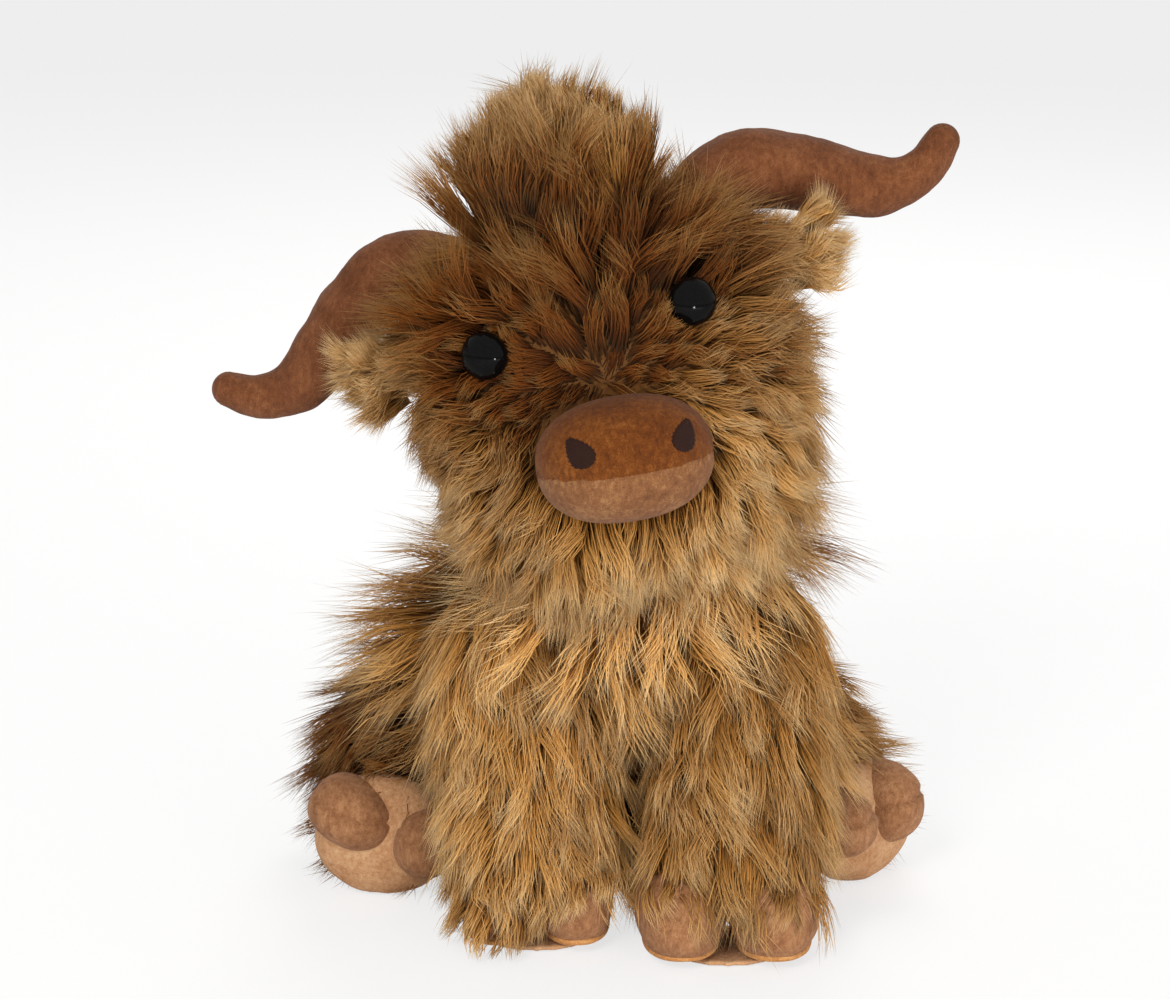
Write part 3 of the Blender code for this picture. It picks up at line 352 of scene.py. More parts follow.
def pile_tree():
    """Geometry nodes that grow locks of hair on a combed skin."""
    tree = bpy.data.node_groups.new("pile", "GeometryNodeTree")
    sockets = {}
    for label, kind in (("Skin", "Geometry"), ("Hairs per square metre", "Float"), ("Seed", "Int"),
                        ("Girth", "Float"), ("Lock spacing", "Float"), ("Lock pull", "Float"),
                        ("Stray", "Float"), ("Swirl", "Float"), ("Wave", "Float"),
                        ("Parts", "Int")):
        made = tree.interface.new_socket(label, in_out="INPUT", socket_type="NodeSocket" + kind)
        sockets[label] = made.identifier
    tree.interface.new_socket("Pile", in_out="OUTPUT", socket_type="NodeSocketGeometry")
    graph = Graph(tree)
    given = graph.node("NodeGroupInput", {})
    skin, seed = given, given.out("Seed")

    def read(label, kind="FLOAT"):
        return graph.node("GeometryNodeInputNamedAttribute", {"data_type": kind}, label)

    def drift(spot, scale):
        return graph.vector(
            "SUBTRACT", graph.noise(spot, scale, 1.0).out("Color"), (0.5, 0.5, 0.5))

    def chance(low, high, shift, key=None, kind="FLOAT"):
        return graph.node("FunctionNodeRandomValue", {"data_type": kind}, low, high, ID=key,
                          Seed=seed + shift)

    def scatter(method, key, **settings):
        return graph.node("GeometryNodeDistributePointsOnFaces", {"distribute_method": method},
                          skin, Seed=key, **settings)

    hairs = scatter("RANDOM", seed, Density=given.out("Hairs per square metre") * read("cover"))
    locks = scatter("POISSON", seed + 7.0, Distance_Min=given.out("Lock spacing"),
                    Density_Max=MOST_LOCKS)
    root = graph.node("GeometryNodeInputPosition", {})
    lock = graph.node("GeometryNodeSampleNearest", {"domain": "POINT"}, locks, root)

    def from_lock(value, kind):
        return graph.node("GeometryNodeSampleIndex", {"data_type": kind, "domain": "POINT"}, locks,
                          value, lock)

    heart = from_lock(graph.node("GeometryNodeInputPosition", {}), "FLOAT_VECTOR")
    outward = from_lock(locks.out("Normal"), "FLOAT_VECTOR")
    flow = from_lock(read("flow", "FLOAT_VECTOR"), "FLOAT_VECTOR")
    length, rise, lie, tone = (
        from_lock(read(label), "FLOAT") for label in ("length", "rise", "lie", "tone"))
    lock_chance = chance((-1.0, -1.0, -1.0), (1.0, 1.0, 1.0), 1, lock, "FLOAT_VECTOR")
    hair_chance = chance((-1.0, -1.0, -1.0), (1.0, 1.0, 1.0), 2, None, "FLOAT_VECTOR")
    swirl = drift(heart, 28.0) * given.out("Swirl") * 2.0
    flow = graph.unit(flow + swirl + lock_chance * 0.18)
    start = graph.unit(outward * rise + flow * (1.0 - rise) + hair_chance * 0.05)
    stray = given.out("Stray")
    end = graph.unit(flow + outward * lie + lock_chance * stray * 0.7 + hair_chance * stray * 0.5)
    length = length * chance(0.72, 1.06, 3) * chance(0.8, 1.15, 4, lock)
    fine = drift(root, 160.0)
    shade = graph.clamp(tone + graph.parts(drift(heart, 45.0)) * 0.55
                        + chance(-0.09, 0.09, 5, lock) + chance(-0.13, 0.13, 6), 0.02, 0.97)
    across = graph.unit(graph.cross(outward, flow + fine * 0.3))

    def store(target, label, value, kind="FLOAT", domain="POINT"):
        return graph.node("GeometryNodeStoreNamedAttribute", {"data_type": kind, "domain": domain},
                          target, Name=label, Value=value)

    points = hairs
    for label, value in (("heart", heart), ("apart", root - heart), ("start", start * length),
                         ("end", end * length), ("across", across)):
        points = store(points, label, value, "FLOAT_VECTOR")
    for label, value in (
        ("shade", shade),
        ("phase", chance(0.0, FULL_TURN, 8, lock) + chance(-0.5, 0.5, 9)),
        ("swing", length * given.out("Wave") * chance(0.4, 1.3, 10, lock)),
        ("thick", given.out("Girth") * chance(0.7, 1.25, 11)),
    ):
        points = store(points, label, value)
    spike = graph.node("GeometryNodeMeshCone", {"fill_type": "NGON"}, Vertices=3,
                       Side_Segments=given.out("Parts"), Radius_Top=0.0, Radius_Bottom=1.0,
                       Depth=1.0)
    spike = store(spike, "form", graph.node("GeometryNodeInputPosition", {}), "FLOAT_VECTOR")
    strands = graph.node("GeometryNodeInstanceOnPoints", {}, points, Instance=spike)
    strands = graph.node("GeometryNodeRealizeInstances", {}, strands)

    form = graph.parts(read("form", "FLOAT_VECTOR"))
    along = graph.clamp(form.out("Z"))
    start, end = read("start", "FLOAT_VECTOR"), read("end", "FLOAT_VECTOR")
    across = read("across", "FLOAT_VECTOR")
    half = along * along * 0.5
    way = start * (along - half) + end * half
    heading = graph.unit(start * (1.0 - along) + end * along)
    deep = graph.cross(across, heading)
    sway = graph.number("SINE", along * HAIR_TURNS * FULL_TURN + read("phase"))
    sway = sway * read("swing") * along
    gather = 1.0 - given.out("Lock pull") * along ** 1.2
    girth = read("thick") * (1.0 + along * 1.7)
    place = (read("heart", "FLOAT_VECTOR") + read("apart", "FLOAT_VECTOR") * gather + way
             + across * sway + across * (form * girth) + deep * (form.out("Y") * girth * 0.6))
    ground = graph.node(
        "ShaderNodeCombineXYZ", {}, -9.0, -9.0,
        form.out("Y") * GROUND_THICK + read("shade") * GROUND_SPREAD + GROUND_HEIGHT)
    strands = graph.node("GeometryNodeSetPosition", {}, strands,
                         Position=graph.vector("MAXIMUM", place, ground))
    chart = graph.node(
        "ShaderNodeCombineXYZ", {}, read("shade") + form * 0.004 + form.out("Y") * 0.002,
        along * 0.95 + form.out("Y") * 0.004 + 0.02)
    strands = store(strands, "OFBake", chart, "FLOAT2", "CORNER")
    strands = graph.node("GeometryNodeSetMaterial", {}, strands, Material=fur_hair)
    strands = graph.node("GeometryNodeSetShadeSmooth", {}, strands)
    tree.links.new(strands.socket, graph.tree.nodes.new("NodeGroupOutput").inputs[0])
    return tree, sockets


pile, pile_sockets = pile_tree()


def grow(name, skin, body, hairs, seed, girth=0.00025, spacing=0.0056, pull=0.55,
         stray=0.55, swirl=0.8, wave=0.10, parts=3, cover=None):
    """Grows about so many hairs on a combed skin, as one plain mesh that rides on a body."""
    host = bpy.data.objects.new(name, skin.data.copy())
    bpy.context.scene.collection.objects.link(host)
    held = host.data.attributes["cover"].data
    if cover is not None:
        held.foreach_set("value", np.asarray(cover, np.float32))
    shares = np.empty(len(held), np.float32)
    held.foreach_get("value", shares)
    area = sum(face.area * shares[face.vertices[0]] for face in host.data.polygons)
    growth = host.modifiers.new("pile", "NODES")
    growth.node_group = pile
    for label, value in (
        ("Hairs per square metre", hairs / area), ("Seed", seed), ("Girth", girth),
        ("Lock spacing", spacing), ("Lock pull", pull), ("Stray", stray), ("Swirl", swirl),
        ("Wave", wave), ("Parts", parts),
    ):
        growth[pile_sockets[label]] = value
    settle(host)
    working = {"flow", "length", "tone", "rise", "lie", "cover", "heart", "apart", "start", "end",
               "across", "shade", "phase", "swing", "thick", "form", "id"}
    for label in [a.name for a in host.data.attributes if a.name in working]:
        host.data.attributes.remove(host.data.attributes[label])
    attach(host, body)


def dress(piece, look, body, slot, *nodes, fill=None):
    """Gives a piece its material and body, and hides the solids it stands for; its slot is not
    used.
    """
    piece.data.materials.append(look)
    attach(piece, body)
    if nodes:
        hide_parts(*nodes)


def smooth_step(low, high, value):
    share = np.clip((value - low) / (high - low), 0.0, 1.0)
    return share * share * (3.0 - 2.0 * share)


body_skin = bag("body_skin", "torso_cover", "torso_filling", voxel=0.0024, rounds=7, inset=0.003)
spots, normals = surface(body_skin)
x, y, z = spots.T
front = smooth_step(0.1, 0.8, -normals[:, 1])
high = smooth_step(0.03, 0.12, z)
shoulder = smooth_step(0.06, 0.10, z)
flank = smooth_step(0.02, 0.05, z) * np.maximum(
    smooth_step(-0.015, -0.045, x), smooth_step(0.025, 0.045, x))
hump = smooth_step(0.065, 0.09, z) * smooth_step(0.0, -0.03, x)
loose = np.maximum(shoulder, flank)
down = np.array((0.0, -0.1, -1.0)) + normals * (
    np.array((0.35, 0.15, 0.0)) + loose[:, None] * np.array((0.75, 0.1, 0.0)))
down[:, 2] += hump * (0.40 + 0.55 * smooth_step(0.088, 0.112, z))
down[:, 0] -= 0.5 * hump
# painted shade: hair on the low flanks is made darker where the legs shade the sides of the body
comb(body_skin, down, 0.028 + 0.013 * np.maximum(high, 0.8 * flank) + 0.006 * hump,
     0.35 + 0.45 * front * high + 0.1 * high - 0.3 * flank * (1.0 - front) + 0.30 * hump,
     rise=0.4 + 0.15 * loose, lie=-0.02 + 0.12 * loose)
dress(body_skin, fur_ground, "torso", "long_fur", "torso_cover", "torso_filling", "pellet_pouch",
      fill=0.6)
under = smooth_step(0.002, 0.012, z)
ahead = smooth_step(-0.15, 0.15, -normals[:, 1] + 0.1)
grow("chest_fur", body_skin, "torso", 12300, 11, girth=0.00023, wave=0.14, stray=0.5,
     spacing=0.0062, pull=0.54, cover=under * ahead)
grow("back_fur", body_skin, "torso", 10900, 12, parts=2, wave=0.14, cover=under * (1.0 - ahead))

# ---------------------------------------------------------------------------
# Neck: the stuffed pad that carries the head.  It is wrapped in the same
# cloth and hidden between the collar of the body and the head.
# ---------------------------------------------------------------------------
neck_skin = bag("neck_skin", "neck_filling", voxel=0.0012, rounds=4)
dress(neck_skin, fur_ground, "neck", "long_fur", "neck_filling", fill=0.6)

# ---------------------------------------------------------------------------
# Head: a round bag of fur cloth, tilted to one side.  Its pile is combed out
# from the brow: up to the mop, out over the cheeks and down over the chin.
# ---------------------------------------------------------------------------
joints = {joint["name"]: joint for joint in frame["joints"]}
neck_axis = Vector(joints["neck_turn"]["axis"])
NECK_TILT = math.atan2(-neck_axis.x, neck_axis.z)
HEAD_OFFSET = Vector((0.0, -0.022, 0.056))
head_place = (Matrix.Translation(joints["neck_turn"]["pos_m"])
              @ Matrix.Rotation(-NECK_TILT, 4, "Y") @ Matrix.Translation(HEAD_OFFSET))
head_turn = np.array(head_place.to_3x3())


def in_head(points):
    """Places seen from the middle of the untilted head."""
    return (points - np.array(head_place.translation)) @ head_turn


def rows(x, y, z):
    """Numbers or columns of them as one row of three for each point."""
    return np.stack(np.broadcast_arrays(x, y, z), axis=1)


def outward_only(flow, normals, share=1.0):
    """Takes from a flow the share of it that would run into the skin."""
    return flow - normals * (np.minimum(np.sum(flow * normals, axis=1), 0.0) * share)[:, None]


head_skin = bag("head_skin", "head_cover", "head_filling", inset=0.0045)
spots, normals = surface(head_skin)
local, local_out = in_head(spots), normals @ head_turn
x, y, z = local.T
face = smooth_step(0.0, 0.035, -y)
side = np.abs(x)
BROW_HEIGHT = 0.010
EYE_SIDE, EYE_FRONT, EYE_RISE = 0.0325, 0.049, 0.029
HORN_SEAT = (0.034, 0.006, 0.040)
MUZZLE_LOW, MUZZLE_SLANT = 0.0085, 0.12
MUZZLE_HOLE = (0.034, 0.026)
away = unit_rows(rows(x * 1.5, 0.0, z - BROW_HEIGHT))
behind = rows(x * 6.0, 0.35, -0.9)
flow = (away * face[:, None] + behind * (1.0 - face)[:, None]) @ head_turn.T
flow += np.array((0.0, 0.0, -0.7)) * smooth_step(0.03, -0.02, z)[:, None]
horn_gap = np.linalg.norm(rows(side, y, z) - HORN_SEAT, axis=1)
near_horn = smooth_step(0.026, 0.012, horn_gap)
over_horn = rows(np.sign(x) * 0.65, -0.1, 0.9)
flow = flow * (1.0 - near_horn)[:, None] + over_horn @ head_turn.T * near_horn[:, None]
flow = outward_only(flow, normals)
muzzle_gap = np.hypot(x / MUZZLE_HOLE[0], (z + MUZZLE_LOW + MUZZLE_SLANT * x) / MUZZLE_HOLE[1])
near_face = smooth_step(1.9, 1.0, muzzle_gap) * face
bridge = face * smooth_step(0.040, 0.020, side) * smooth_step(0.0, 0.016, z)
brow = face * smooth_step(0.046, 0.030, side) * smooth_step(0.012, 0.026, z)
chin = smooth_step(0.0, -0.03, z)
flank = smooth_step(0.035, 0.055, side)
pile_length = (0.029 - 0.011 * near_face - 0.010 * bridge + 0.017 * brow + 0.009 * chin
               - 0.008 * flank)
pile_length -= 0.006 * flank * (x < 0.0) * smooth_step(0.01, -0.01, z)
tone = (0.28 + 0.38 * face * smooth_step(0.010, -0.025, z)
        - 0.36 * np.maximum(np.maximum(bridge, brow), 0.6 * near_horn)
        - 0.10 * smooth_step(0.0, -0.03, x))
eye_spots = np.array([(sign * EYE_SIDE, -EYE_FRONT, EYE_RISE) for sign in (-1.0, 1.0)])
eye_gap = np.min([np.linalg.norm(local - spot, axis=1) for spot in eye_spots], axis=0)
pile_length *= 0.35 + 0.65 * smooth_step(0.008, 0.017, eye_gap)
combed = unit_rows(flow) @ head_turn
# hair that points at an eye is kept so short that it ends before it
EYE_NEAR, EYE_EDGE, EYE_HAIR = 0.045, 0.0045, 0.005
for spot in eye_spots:
    ahead = spot - local
    far = np.maximum(np.linalg.norm(ahead, axis=1), 1e-6)
    toward = smooth_step(0.2, 0.6, np.sum(combed * ahead, axis=1) / far)
    room = np.minimum(pile_length, np.maximum(far - EYE_EDGE, EYE_HAIR))
    pile_length = np.where(
        far < EYE_NEAR, pile_length * (1.0 - toward) + room * toward, pile_length)
cover = smooth_step(0.0075, 0.0095, eye_gap)
cover = cover * np.where(face > 0.5, smooth_step(0.70, 0.84, muzzle_gap), 1.0)
comb(head_skin, flow, pile_length, tone, rise=0.34 - 0.08 * flank, lie=-0.06 + 0.16 * brow,
     cover=cover)
dress(head_skin, face_ground, "head", "long_fur", "head_cover", "head_filling", fill=0.65)
front = smooth_step(-0.1, 0.2, -local_out[:, 1])
low = smooth_step(0.012, -0.004, z)
grow("face_fur", head_skin, "head", 12300, 21, girth=0.00022, wave=0.17, stray=0.7, swirl=1.0,
     spacing=0.0050, cover=cover * front * (1.0 - low))
grow("cheek_fur", head_skin, "head", 12300, 22, girth=0.00023, wave=0.14, stray=0.5,
     spacing=0.0062, pull=0.6, cover=cover * front * low)
grow("nape_fur", head_skin, "head", 11700, 23, parts=2, cover=cover * (1.0 - front))

# ---------------------------------------------------------------------------
# Muzzle: two panels of short velour over a small ball of stuffing, joined in
# the curved mouth seam, whose stitches draw little gathers.
# ---------------------------------------------------------------------------


def velour_paint(name, dark, mid, light, streak=(1.0, 1.0, 1.0)):
    """Short brushed pile: soft light and dark patches of painted sheen where the nap turns, over a
    fine grain.
    """
    made, graph, shader, spot = paint(name)
    brushed = graph.node("ShaderNodeMapping", {}, spot, Scale=streak)
    # painted sheen: the patches are lighter and darker where the turning nap would catch or lose
    # the light
    sheen_patch = graph.noise(spot, 95.0, 3.0, Roughness=0.6)
    nap = graph.noise(brushed, 620.0, 3.0, Roughness=0.65)
    grain = graph.noise(spot, 2400.0, 2.0)
    level = graph.clamp(sheen_patch * 0.4 + nap * 0.55 + grain * 0.4 - 0.175)
    stops = [(0.28, rgb(dark)), (0.5, rgb(mid)), (0.74, rgb(light))]
    bump = graph.node("ShaderNodeBump", {}, Strength=0.7, Distance=0.0006,
                      Height=nap + grain * 0.8)
    give(graph, shader, Base_Color=graph.node("ShaderNodeValToRGB", {"stops": stops}, level),
         Normal=bump, Roughness=0.85, Specular_IOR_Level=0.15, Sheen_Weight=0.05,
         Sheen_Roughness=0.5)
    return made


muzzle_velour = velour_paint("muzzle_velour", "44200b", "643510", "875223", (1.0, 1.0, 0.6))
chin_velour = velour_paint("chin_velour", "5a3621", "7b5132", "9f774f", (1.0, 1.0, 0.6))

MUZZLE_HALF = (0.027, 0.021, 0.0190)
MUZZLE_OFFSET = Vector((0.0012, -0.0615, -MUZZLE_LOW))
MUZZLE_ROLL, MUZZLE_TURN, MUZZLE_LIFT = (math.radians(a) for a in (8.0, 11.0, 9.0))
MUZZLE_POWER = 2.3
MOUTH_DROP = 0.0006
MOUTH_SAG = 0.0030
MOUTH_REACH = 0.033
MOUTH_GATHERS = 34.0
SEAM_DEPTH, SEAM_WIDTH = 0.0002, 0.0008
GATHER_DEPTH, GATHER_WIDTH = 0.00022, 0.0028
MUZZLE_ROOT = 0.014
muzzle_place = (
    head_place @ Matrix.Translation(MUZZLE_OFFSET) @ Matrix.Rotation(MUZZLE_ROLL, 4, "Y")
    @ Matrix.Rotation(MUZZLE_TURN, 4, "Z") @ Matrix.Rotation(-MUZZLE_LIFT, 4, "X"))


def mouth_height(x):
    """How high the mouth seam runs at x, from the muzzle's middle."""
    return -MOUTH_DROP - MOUTH_SAG * (1.0 - min(1.0, (x / MOUTH_REACH) ** 2))


def band(made, circles):
    """Joins closed rings of as many points by faces."""
    for low, high in zip(circles, circles[1:]):
        for k in range(len(low)):
            right = (k + 1) % len(low)
            made.faces.new((low[k], low[right], high[right], high[k]))


def cap(made, circle, tip):
    """Closes a ring by a fan of faces round one point."""
    for k in range(len(circle)):
        made.faces.new((circle[k], circle[(k + 1) % len(circle)], tip))


def piece_of(made, name, place=Matrix.Identity(4)):
    """Makes a finished shape a smooth piece of the scene, its faces outwards."""
    bmesh.ops.recalc_face_normals(made, faces=made.faces)
    mesh = bpy.data.meshes.new(name)
    made.to_mesh(mesh)
    made.free()
    mesh.transform(place)
    mesh.shade_smooth()
    thing = bpy.data.objects.new(name, mesh)
    bpy.context.scene.collection.objects.link(thing)
    return thing


def muzzle_half(name, above):
    """One panel: the muzzle's round form on its side of the seam, drawn in along it."""
    columns, arcs = 96, 26
    circles = []
    for row in range(arcs):
        tilt = row / arcs * math.pi / 2
        circle = []
        for column in range(columns):
            turn = 2.0 * math.pi * column / columns
            d = Vector((math.cos(turn) * math.cos(tilt), -math.sin(tilt),
                        math.sin(turn) * math.cos(tilt)))
            total = sum(abs(d[i] / MUZZLE_HALF[i]) ** MUZZLE_POWER for i in range(3))
            circle.append(d * total ** (-1.0 / MUZZLE_POWER))
        circles.append(circle)
    root = [[Vector((p.x * share, MUZZLE_ROOT * way, p.z * share)) for p in circles[0]]
            for way, share in ((1.0, 0.86), (0.6, 0.94), (0.25, 0.99))]
    made = bmesh.new()
    circles = [[made.verts.new(p) for p in circle] for circle in root + circles]
    band(made, circles)
    cap(made, circles[-1], made.verts.new((0.0, -MUZZLE_HALF[1], 0.0)))
    cap(made, circles[0], made.verts.new((0.0, MUZZLE_ROOT, 0.0)))
    piece = piece_of(made, name)
    steps, reach = 24, 0.03
    lap = -0.0008 if above else 0.0008
    edge = [-MOUTH_REACH + 2.0 * MOUTH_REACH * i / steps for i in range(steps + 1)]
    outline = [(x, mouth_height(x) + lap) for x in edge]
    outline += [(x, reach if above else -reach) for x in (MOUTH_REACH, -MOUTH_REACH)]
    keep = bmesh.new()
    sides = [[keep.verts.new((x, y, z)) for x, z in outline] for y in (-reach, reach)]
    for side in sides:
        keep.faces.new(side)
    band(keep, sides)
    keeper = piece_of(keep, name + "_keep")
    trim = piece.modifiers.new("trim", "BOOLEAN")
    trim.operation, trim.object, trim.solver = "INTERSECT", keeper, "EXACT"
    remesh = piece.modifiers.new("cloth", "REMESH")
    remesh.mode, remesh.voxel_size = "VOXEL", 0.00075
    ease = piece.modifiers.new("ease", "SMOOTH")
    ease.factor, ease.iterations = 0.5, 3
    settle(piece)
    bpy.data.objects.remove(keeper)
    for vertex, normal in zip(piece.data.vertices, surface(piece)[1]):
        x, y, z = vertex.co
        gap = abs(z - mouth_height(x))
        if y < 0.0:
            draw = SEAM_DEPTH * math.exp(-(gap / SEAM_WIDTH) ** 2)
            draw += GATHER_DEPTH * math.exp(-(gap / GATHER_WIDTH) ** 2) * (
                1.0 + math.cos(MOUTH_GATHERS * math.pi * x / MOUTH_REACH
                               + 1.7 * math.sin(260.0 * x)))
            vertex.co -= Vector(normal) * draw
    piece.data.transform(muzzle_place)
    piece.data.shade_smooth()
    return piece


dress(muzzle_half("muzzle_top_panel", True), muzzle_velour, "head", "muzzle_velour",
      "muzzle_upper", "muzzle_filling", fill=0.8)
dress(muzzle_half("muzzle_chin_panel", False), chin_velour, "head", "chin_velour",
      "muzzle_lower", fill=0.8)

# ---------------------------------------------------------------------------
# Nostrils: teardrops of dark thread, satin-stitched over the upper panel in
# rows that lie side by side.
# ---------------------------------------------------------------------------
thread_paint, graph, shader, spot = paint("nostril_thread")
twist = graph.noise(spot, 1800.0, 2.0)
give(graph, shader, Base_Color=graph.mix(twist, rgb("140806"), rgb("341c14")), Roughness=0.7,
     Specular_IOR_Level=0.2)
NOSTRIL_SIDE, NOSTRIL_RISE = 0.0160, 0.0055
NOSTRIL_LONG, NOSTRIL_WIDE = 0.0048, 0.0037
NOSTRIL_LEAN = math.radians(28.0)
THREAD_RADIUS, THREAD_DEPTH = 0.00030, 0.0004
THREAD_STEPS = 8
SIDES = (("left", -1.0), ("right", 1.0))


def muzzle_front(x, z):
    """How far forward the muzzle's front lies at x and z."""
    left = 1.0 - abs(x / MUZZLE_HALF[0]) ** MUZZLE_POWER - abs(z / MUZZLE_HALF[2]) ** MUZZLE_POWER
    return -MUZZLE_HALF[1] * max(left, 0.0) ** (1.0 / MUZZLE_POWER)


for label, sign in SIDES:
    stitches = bmesh.new()
    count = int(NOSTRIL_LONG * 2.0 / (THREAD_RADIUS * 1.5))
    for row in range(count):
        share = (row + 0.5) / count * 2.0 - 1.0
        wide = NOSTRIL_WIDE * math.sqrt(max(0.0, 1.0 - share * share)) * (1.0 - 0.42 * share)
        wide *= 1.0 + 0.06 * math.sin(row * 2.3)
        thread = []
        for step in range(THREAD_STEPS + 1):
            along = -1.0 + 2.0 * step / THREAD_STEPS
            flat = Vector((along * wide, share * NOSTRIL_LONG))
            x = flat.x * math.cos(NOSTRIL_LEAN) + flat.y * math.sin(NOSTRIL_LEAN)
            z = -flat.x * math.sin(NOSTRIL_LEAN) + flat.y * math.cos(NOSTRIL_LEAN)
            x, z = sign * (NOSTRIL_SIDE + x), NOSTRIL_RISE + z
            y = muzzle_front(x, z) + THREAD_DEPTH * (2.0 * along ** 4 - 1.0)
            thread.append(Vector((x, y, z)))
        circles = []
        for step, middle in enumerate(thread):
            ahead = (thread[min(step + 1, THREAD_STEPS)] - thread[max(step - 1, 0)]).normalized()
            up = ahead.cross(Vector((0, 1, 0))).normalized()
            deep = up.cross(ahead)
            circles.append([stitches.verts.new(middle + THREAD_RADIUS * (
                up * math.cos(k * math.pi / 3) + deep * math.sin(k * math.pi / 3)))
                for k in range(6)])
        band(stitches, circles)
        stitches.faces.new(circles[0])
        stitches.faces.new(list(reversed(circles[-1])))
    nostril = piece_of(stitches, "nostril_stitches_" + label, muzzle_place)
    dress(nostril, thread_paint, "head", "nostril_thread", "nostril_" + label)

# ---------------------------------------------------------------------------
# Eyes: glossy black plastic domes, each on a stem that goes through the cloth
# and is locked behind it by a washer.
# ---------------------------------------------------------------------------
eye_paint, graph, shader, spot = paint("eye_plastic")
dust = graph.noise(spot, 900.0, 3.0)
give(graph, shader, Base_Color=graph.mix(dust, rgb("030303"), rgb("0c0a0a")),
     Roughness=dust * 0.06 + 0.03, Specular_IOR_Level=0.08)
EYE_RADIUS, EYE_BULGE = 0.0074, 0.0052
EYE_FOOT, EYE_BACK = 0.0004, 0.0050
STEM_RADIUS, STEM_LENGTH = 0.0019, 0.0115
EYE_OUTWARD, EYE_UPWARD = math.radians(20.0), math.radians(8.0)
HEAD_HALF = (0.0605, 0.0555, 0.0520)
HEAD_POWER = 2.5
for label, sign in SIDES:
    front = HEAD_HALF[1] * (1.0 - (EYE_SIDE / HEAD_HALF[0]) ** HEAD_POWER
                            - (EYE_RISE / HEAD_HALF[2]) ** HEAD_POWER) ** (1.0 / HEAD_POWER)
    place = (head_place @ Matrix.Translation((sign * EYE_SIDE, -front, EYE_RISE))
             @ Matrix.Rotation(sign * EYE_OUTWARD, 4, "Z") @ Matrix.Rotation(-EYE_UPWARD, 4, "X")
             @ Matrix.Rotation(math.pi / 2, 4, "X"))
    dome = bmesh.new()
    outline = [(-STEM_LENGTH, STEM_RADIUS), (-EYE_BACK - 0.0002, STEM_RADIUS),
               (-EYE_BACK, EYE_RADIUS * 0.94)]
    outline += [(EYE_BULGE * math.sin(t) + EYE_FOOT, EYE_RADIUS * math.cos(t))
                for t in [math.pi / 2 * i / 12 for i in range(12)]]
    circles = [[dome.verts.new((radius * math.cos(k * math.pi / 24),
                                radius * math.sin(k * math.pi / 24), height))
                for k in range(48)] for height, radius in outline]
    band(dome, circles)
    dome.faces.new(list(reversed(circles[0])))
    cap(dome, circles[-1], dome.verts.new((0.0, 0.0, EYE_BULGE + EYE_FOOT)))
    eye = piece_of(dome, "eye_dome_" + label, place)
    dress(eye, eye_paint, "head", "eye_plastic", "eye_" + label)

washer_paint, graph, shader, spot = paint("washer_plastic")
marks = graph.noise(spot, 600.0, 2.0)
give(graph, shader, Base_Color=graph.mix(marks, rgb("d8d6d0"), rgb("efeeea")), Roughness=0.4)
for label in ("left", "right"):
    washer = frame["nodes"]["eye_washer_" + label].data
    washer.materials.clear()
    washer.materials.append(washer_paint)

# ---------------------------------------------------------------------------
# Forelock: a tall mop of the longest hair, sewn to the top of the head
# between the horns.  It stands up and fans out, and some falls on the brow.
# ---------------------------------------------------------------------------
mop_skin = bag("forelock_skin", "forelock", voxel=0.0018, inset=0.004)
spots, normals = surface(mop_skin)
local, local_out = in_head(spots), normals @ head_turn
x, y, z = local.T
height = smooth_step(0.050, 0.094, z)
fan = rows(0.07 + local_out[:, 0] * (0.18 - 0.08 * height)
           - x * (2.5 + 3.5 * height), local_out[:, 1] * 0.3, 1.0) @ head_turn.T
MOP_TOP = 0.2835
crown = MOP_TOP - spots[:, 2] - 0.010 * smooth_step(0.004, 0.024, np.abs(x))
crown -= 0.005 * smooth_step(0.0, -0.02, x)
comb(mop_skin, fan, np.clip(crown, 0.012, 0.042), 0.05 + 0.34 * height,
     rise=0.18 - 0.09 * height, lie=0.02)
dress(mop_skin, dark_ground, "head", "dark_fur", "forelock", fill=0.5)
grow("forelock_hair", mop_skin, "head", 8900, 31, parts=4, spacing=0.0062, pull=0.6,
     stray=0.6, swirl=0.7, wave=0.15)

# ---------------------------------------------------------------------------
# Horns: stuffed tubes of brushed terracotta velour, sewn from a front and a
# back panel.  They lean out, arch, dip and flick up at the tip.
# ---------------------------------------------------------------------------
horn_velour = velour_paint("horn_velour", "4d2b18", "6c4026", "8a5a3a", (1.0, 1.0, 0.5))
HORN_ROOT = Vector((0.040, 0.016, 0.038))
HORN_REACH, HORN_LIFT, HORN_RADIUS = 0.080, 0.0145, 0.0128
HORN_LEAN = {"left": math.radians(-8.0), "right": math.radians(-5.5)}
HORN_STOPS = (  # shares of reach, lift and radius along the horn
    (-0.10, -0.50, 0.62), (-0.05, -0.15, 0.98), (0.0, 0.22, 1.12), (0.10, 0.72, 1.08),
    (0.23, 0.90, 1.02), (0.38, 0.60, 0.96), (0.54, 0.08, 0.90), (0.68, -0.36, 0.78),
    (0.80, -0.53, 0.65), (0.91, -0.38, 0.53), (1.0, 0.0, 0.45),
)
HORN_TIP_TURNS = (15, 30, 45, 58, 70, 80, 87)
HORN_SEAM, HORN_LUMP, HORN_DIMPLE = 0.0005, 0.0007, 0.00025
HORN_COLUMNS = 40


def smooth_run(stops, steps):
    """Points on one smooth curve through the stops."""
    knots = [Vector(s) for s in stops]
    knots = [knots[0] * 2.0 - knots[1], *knots, knots[-1] * 2.0 - knots[-2]]
    run = []
    for a, b, c, d in zip(knots, knots[1:], knots[2:], knots[3:]):
        for step in range(steps):
            t = step / steps
            run.append(0.5 * (2.0 * b + (c - a) * t + (2.0 * a - 5.0 * b + 4.0 * c - d) * t * t
                              + (3.0 * b - a - 3.0 * c + d) * t ** 3))
    return run + [knots[-2]]


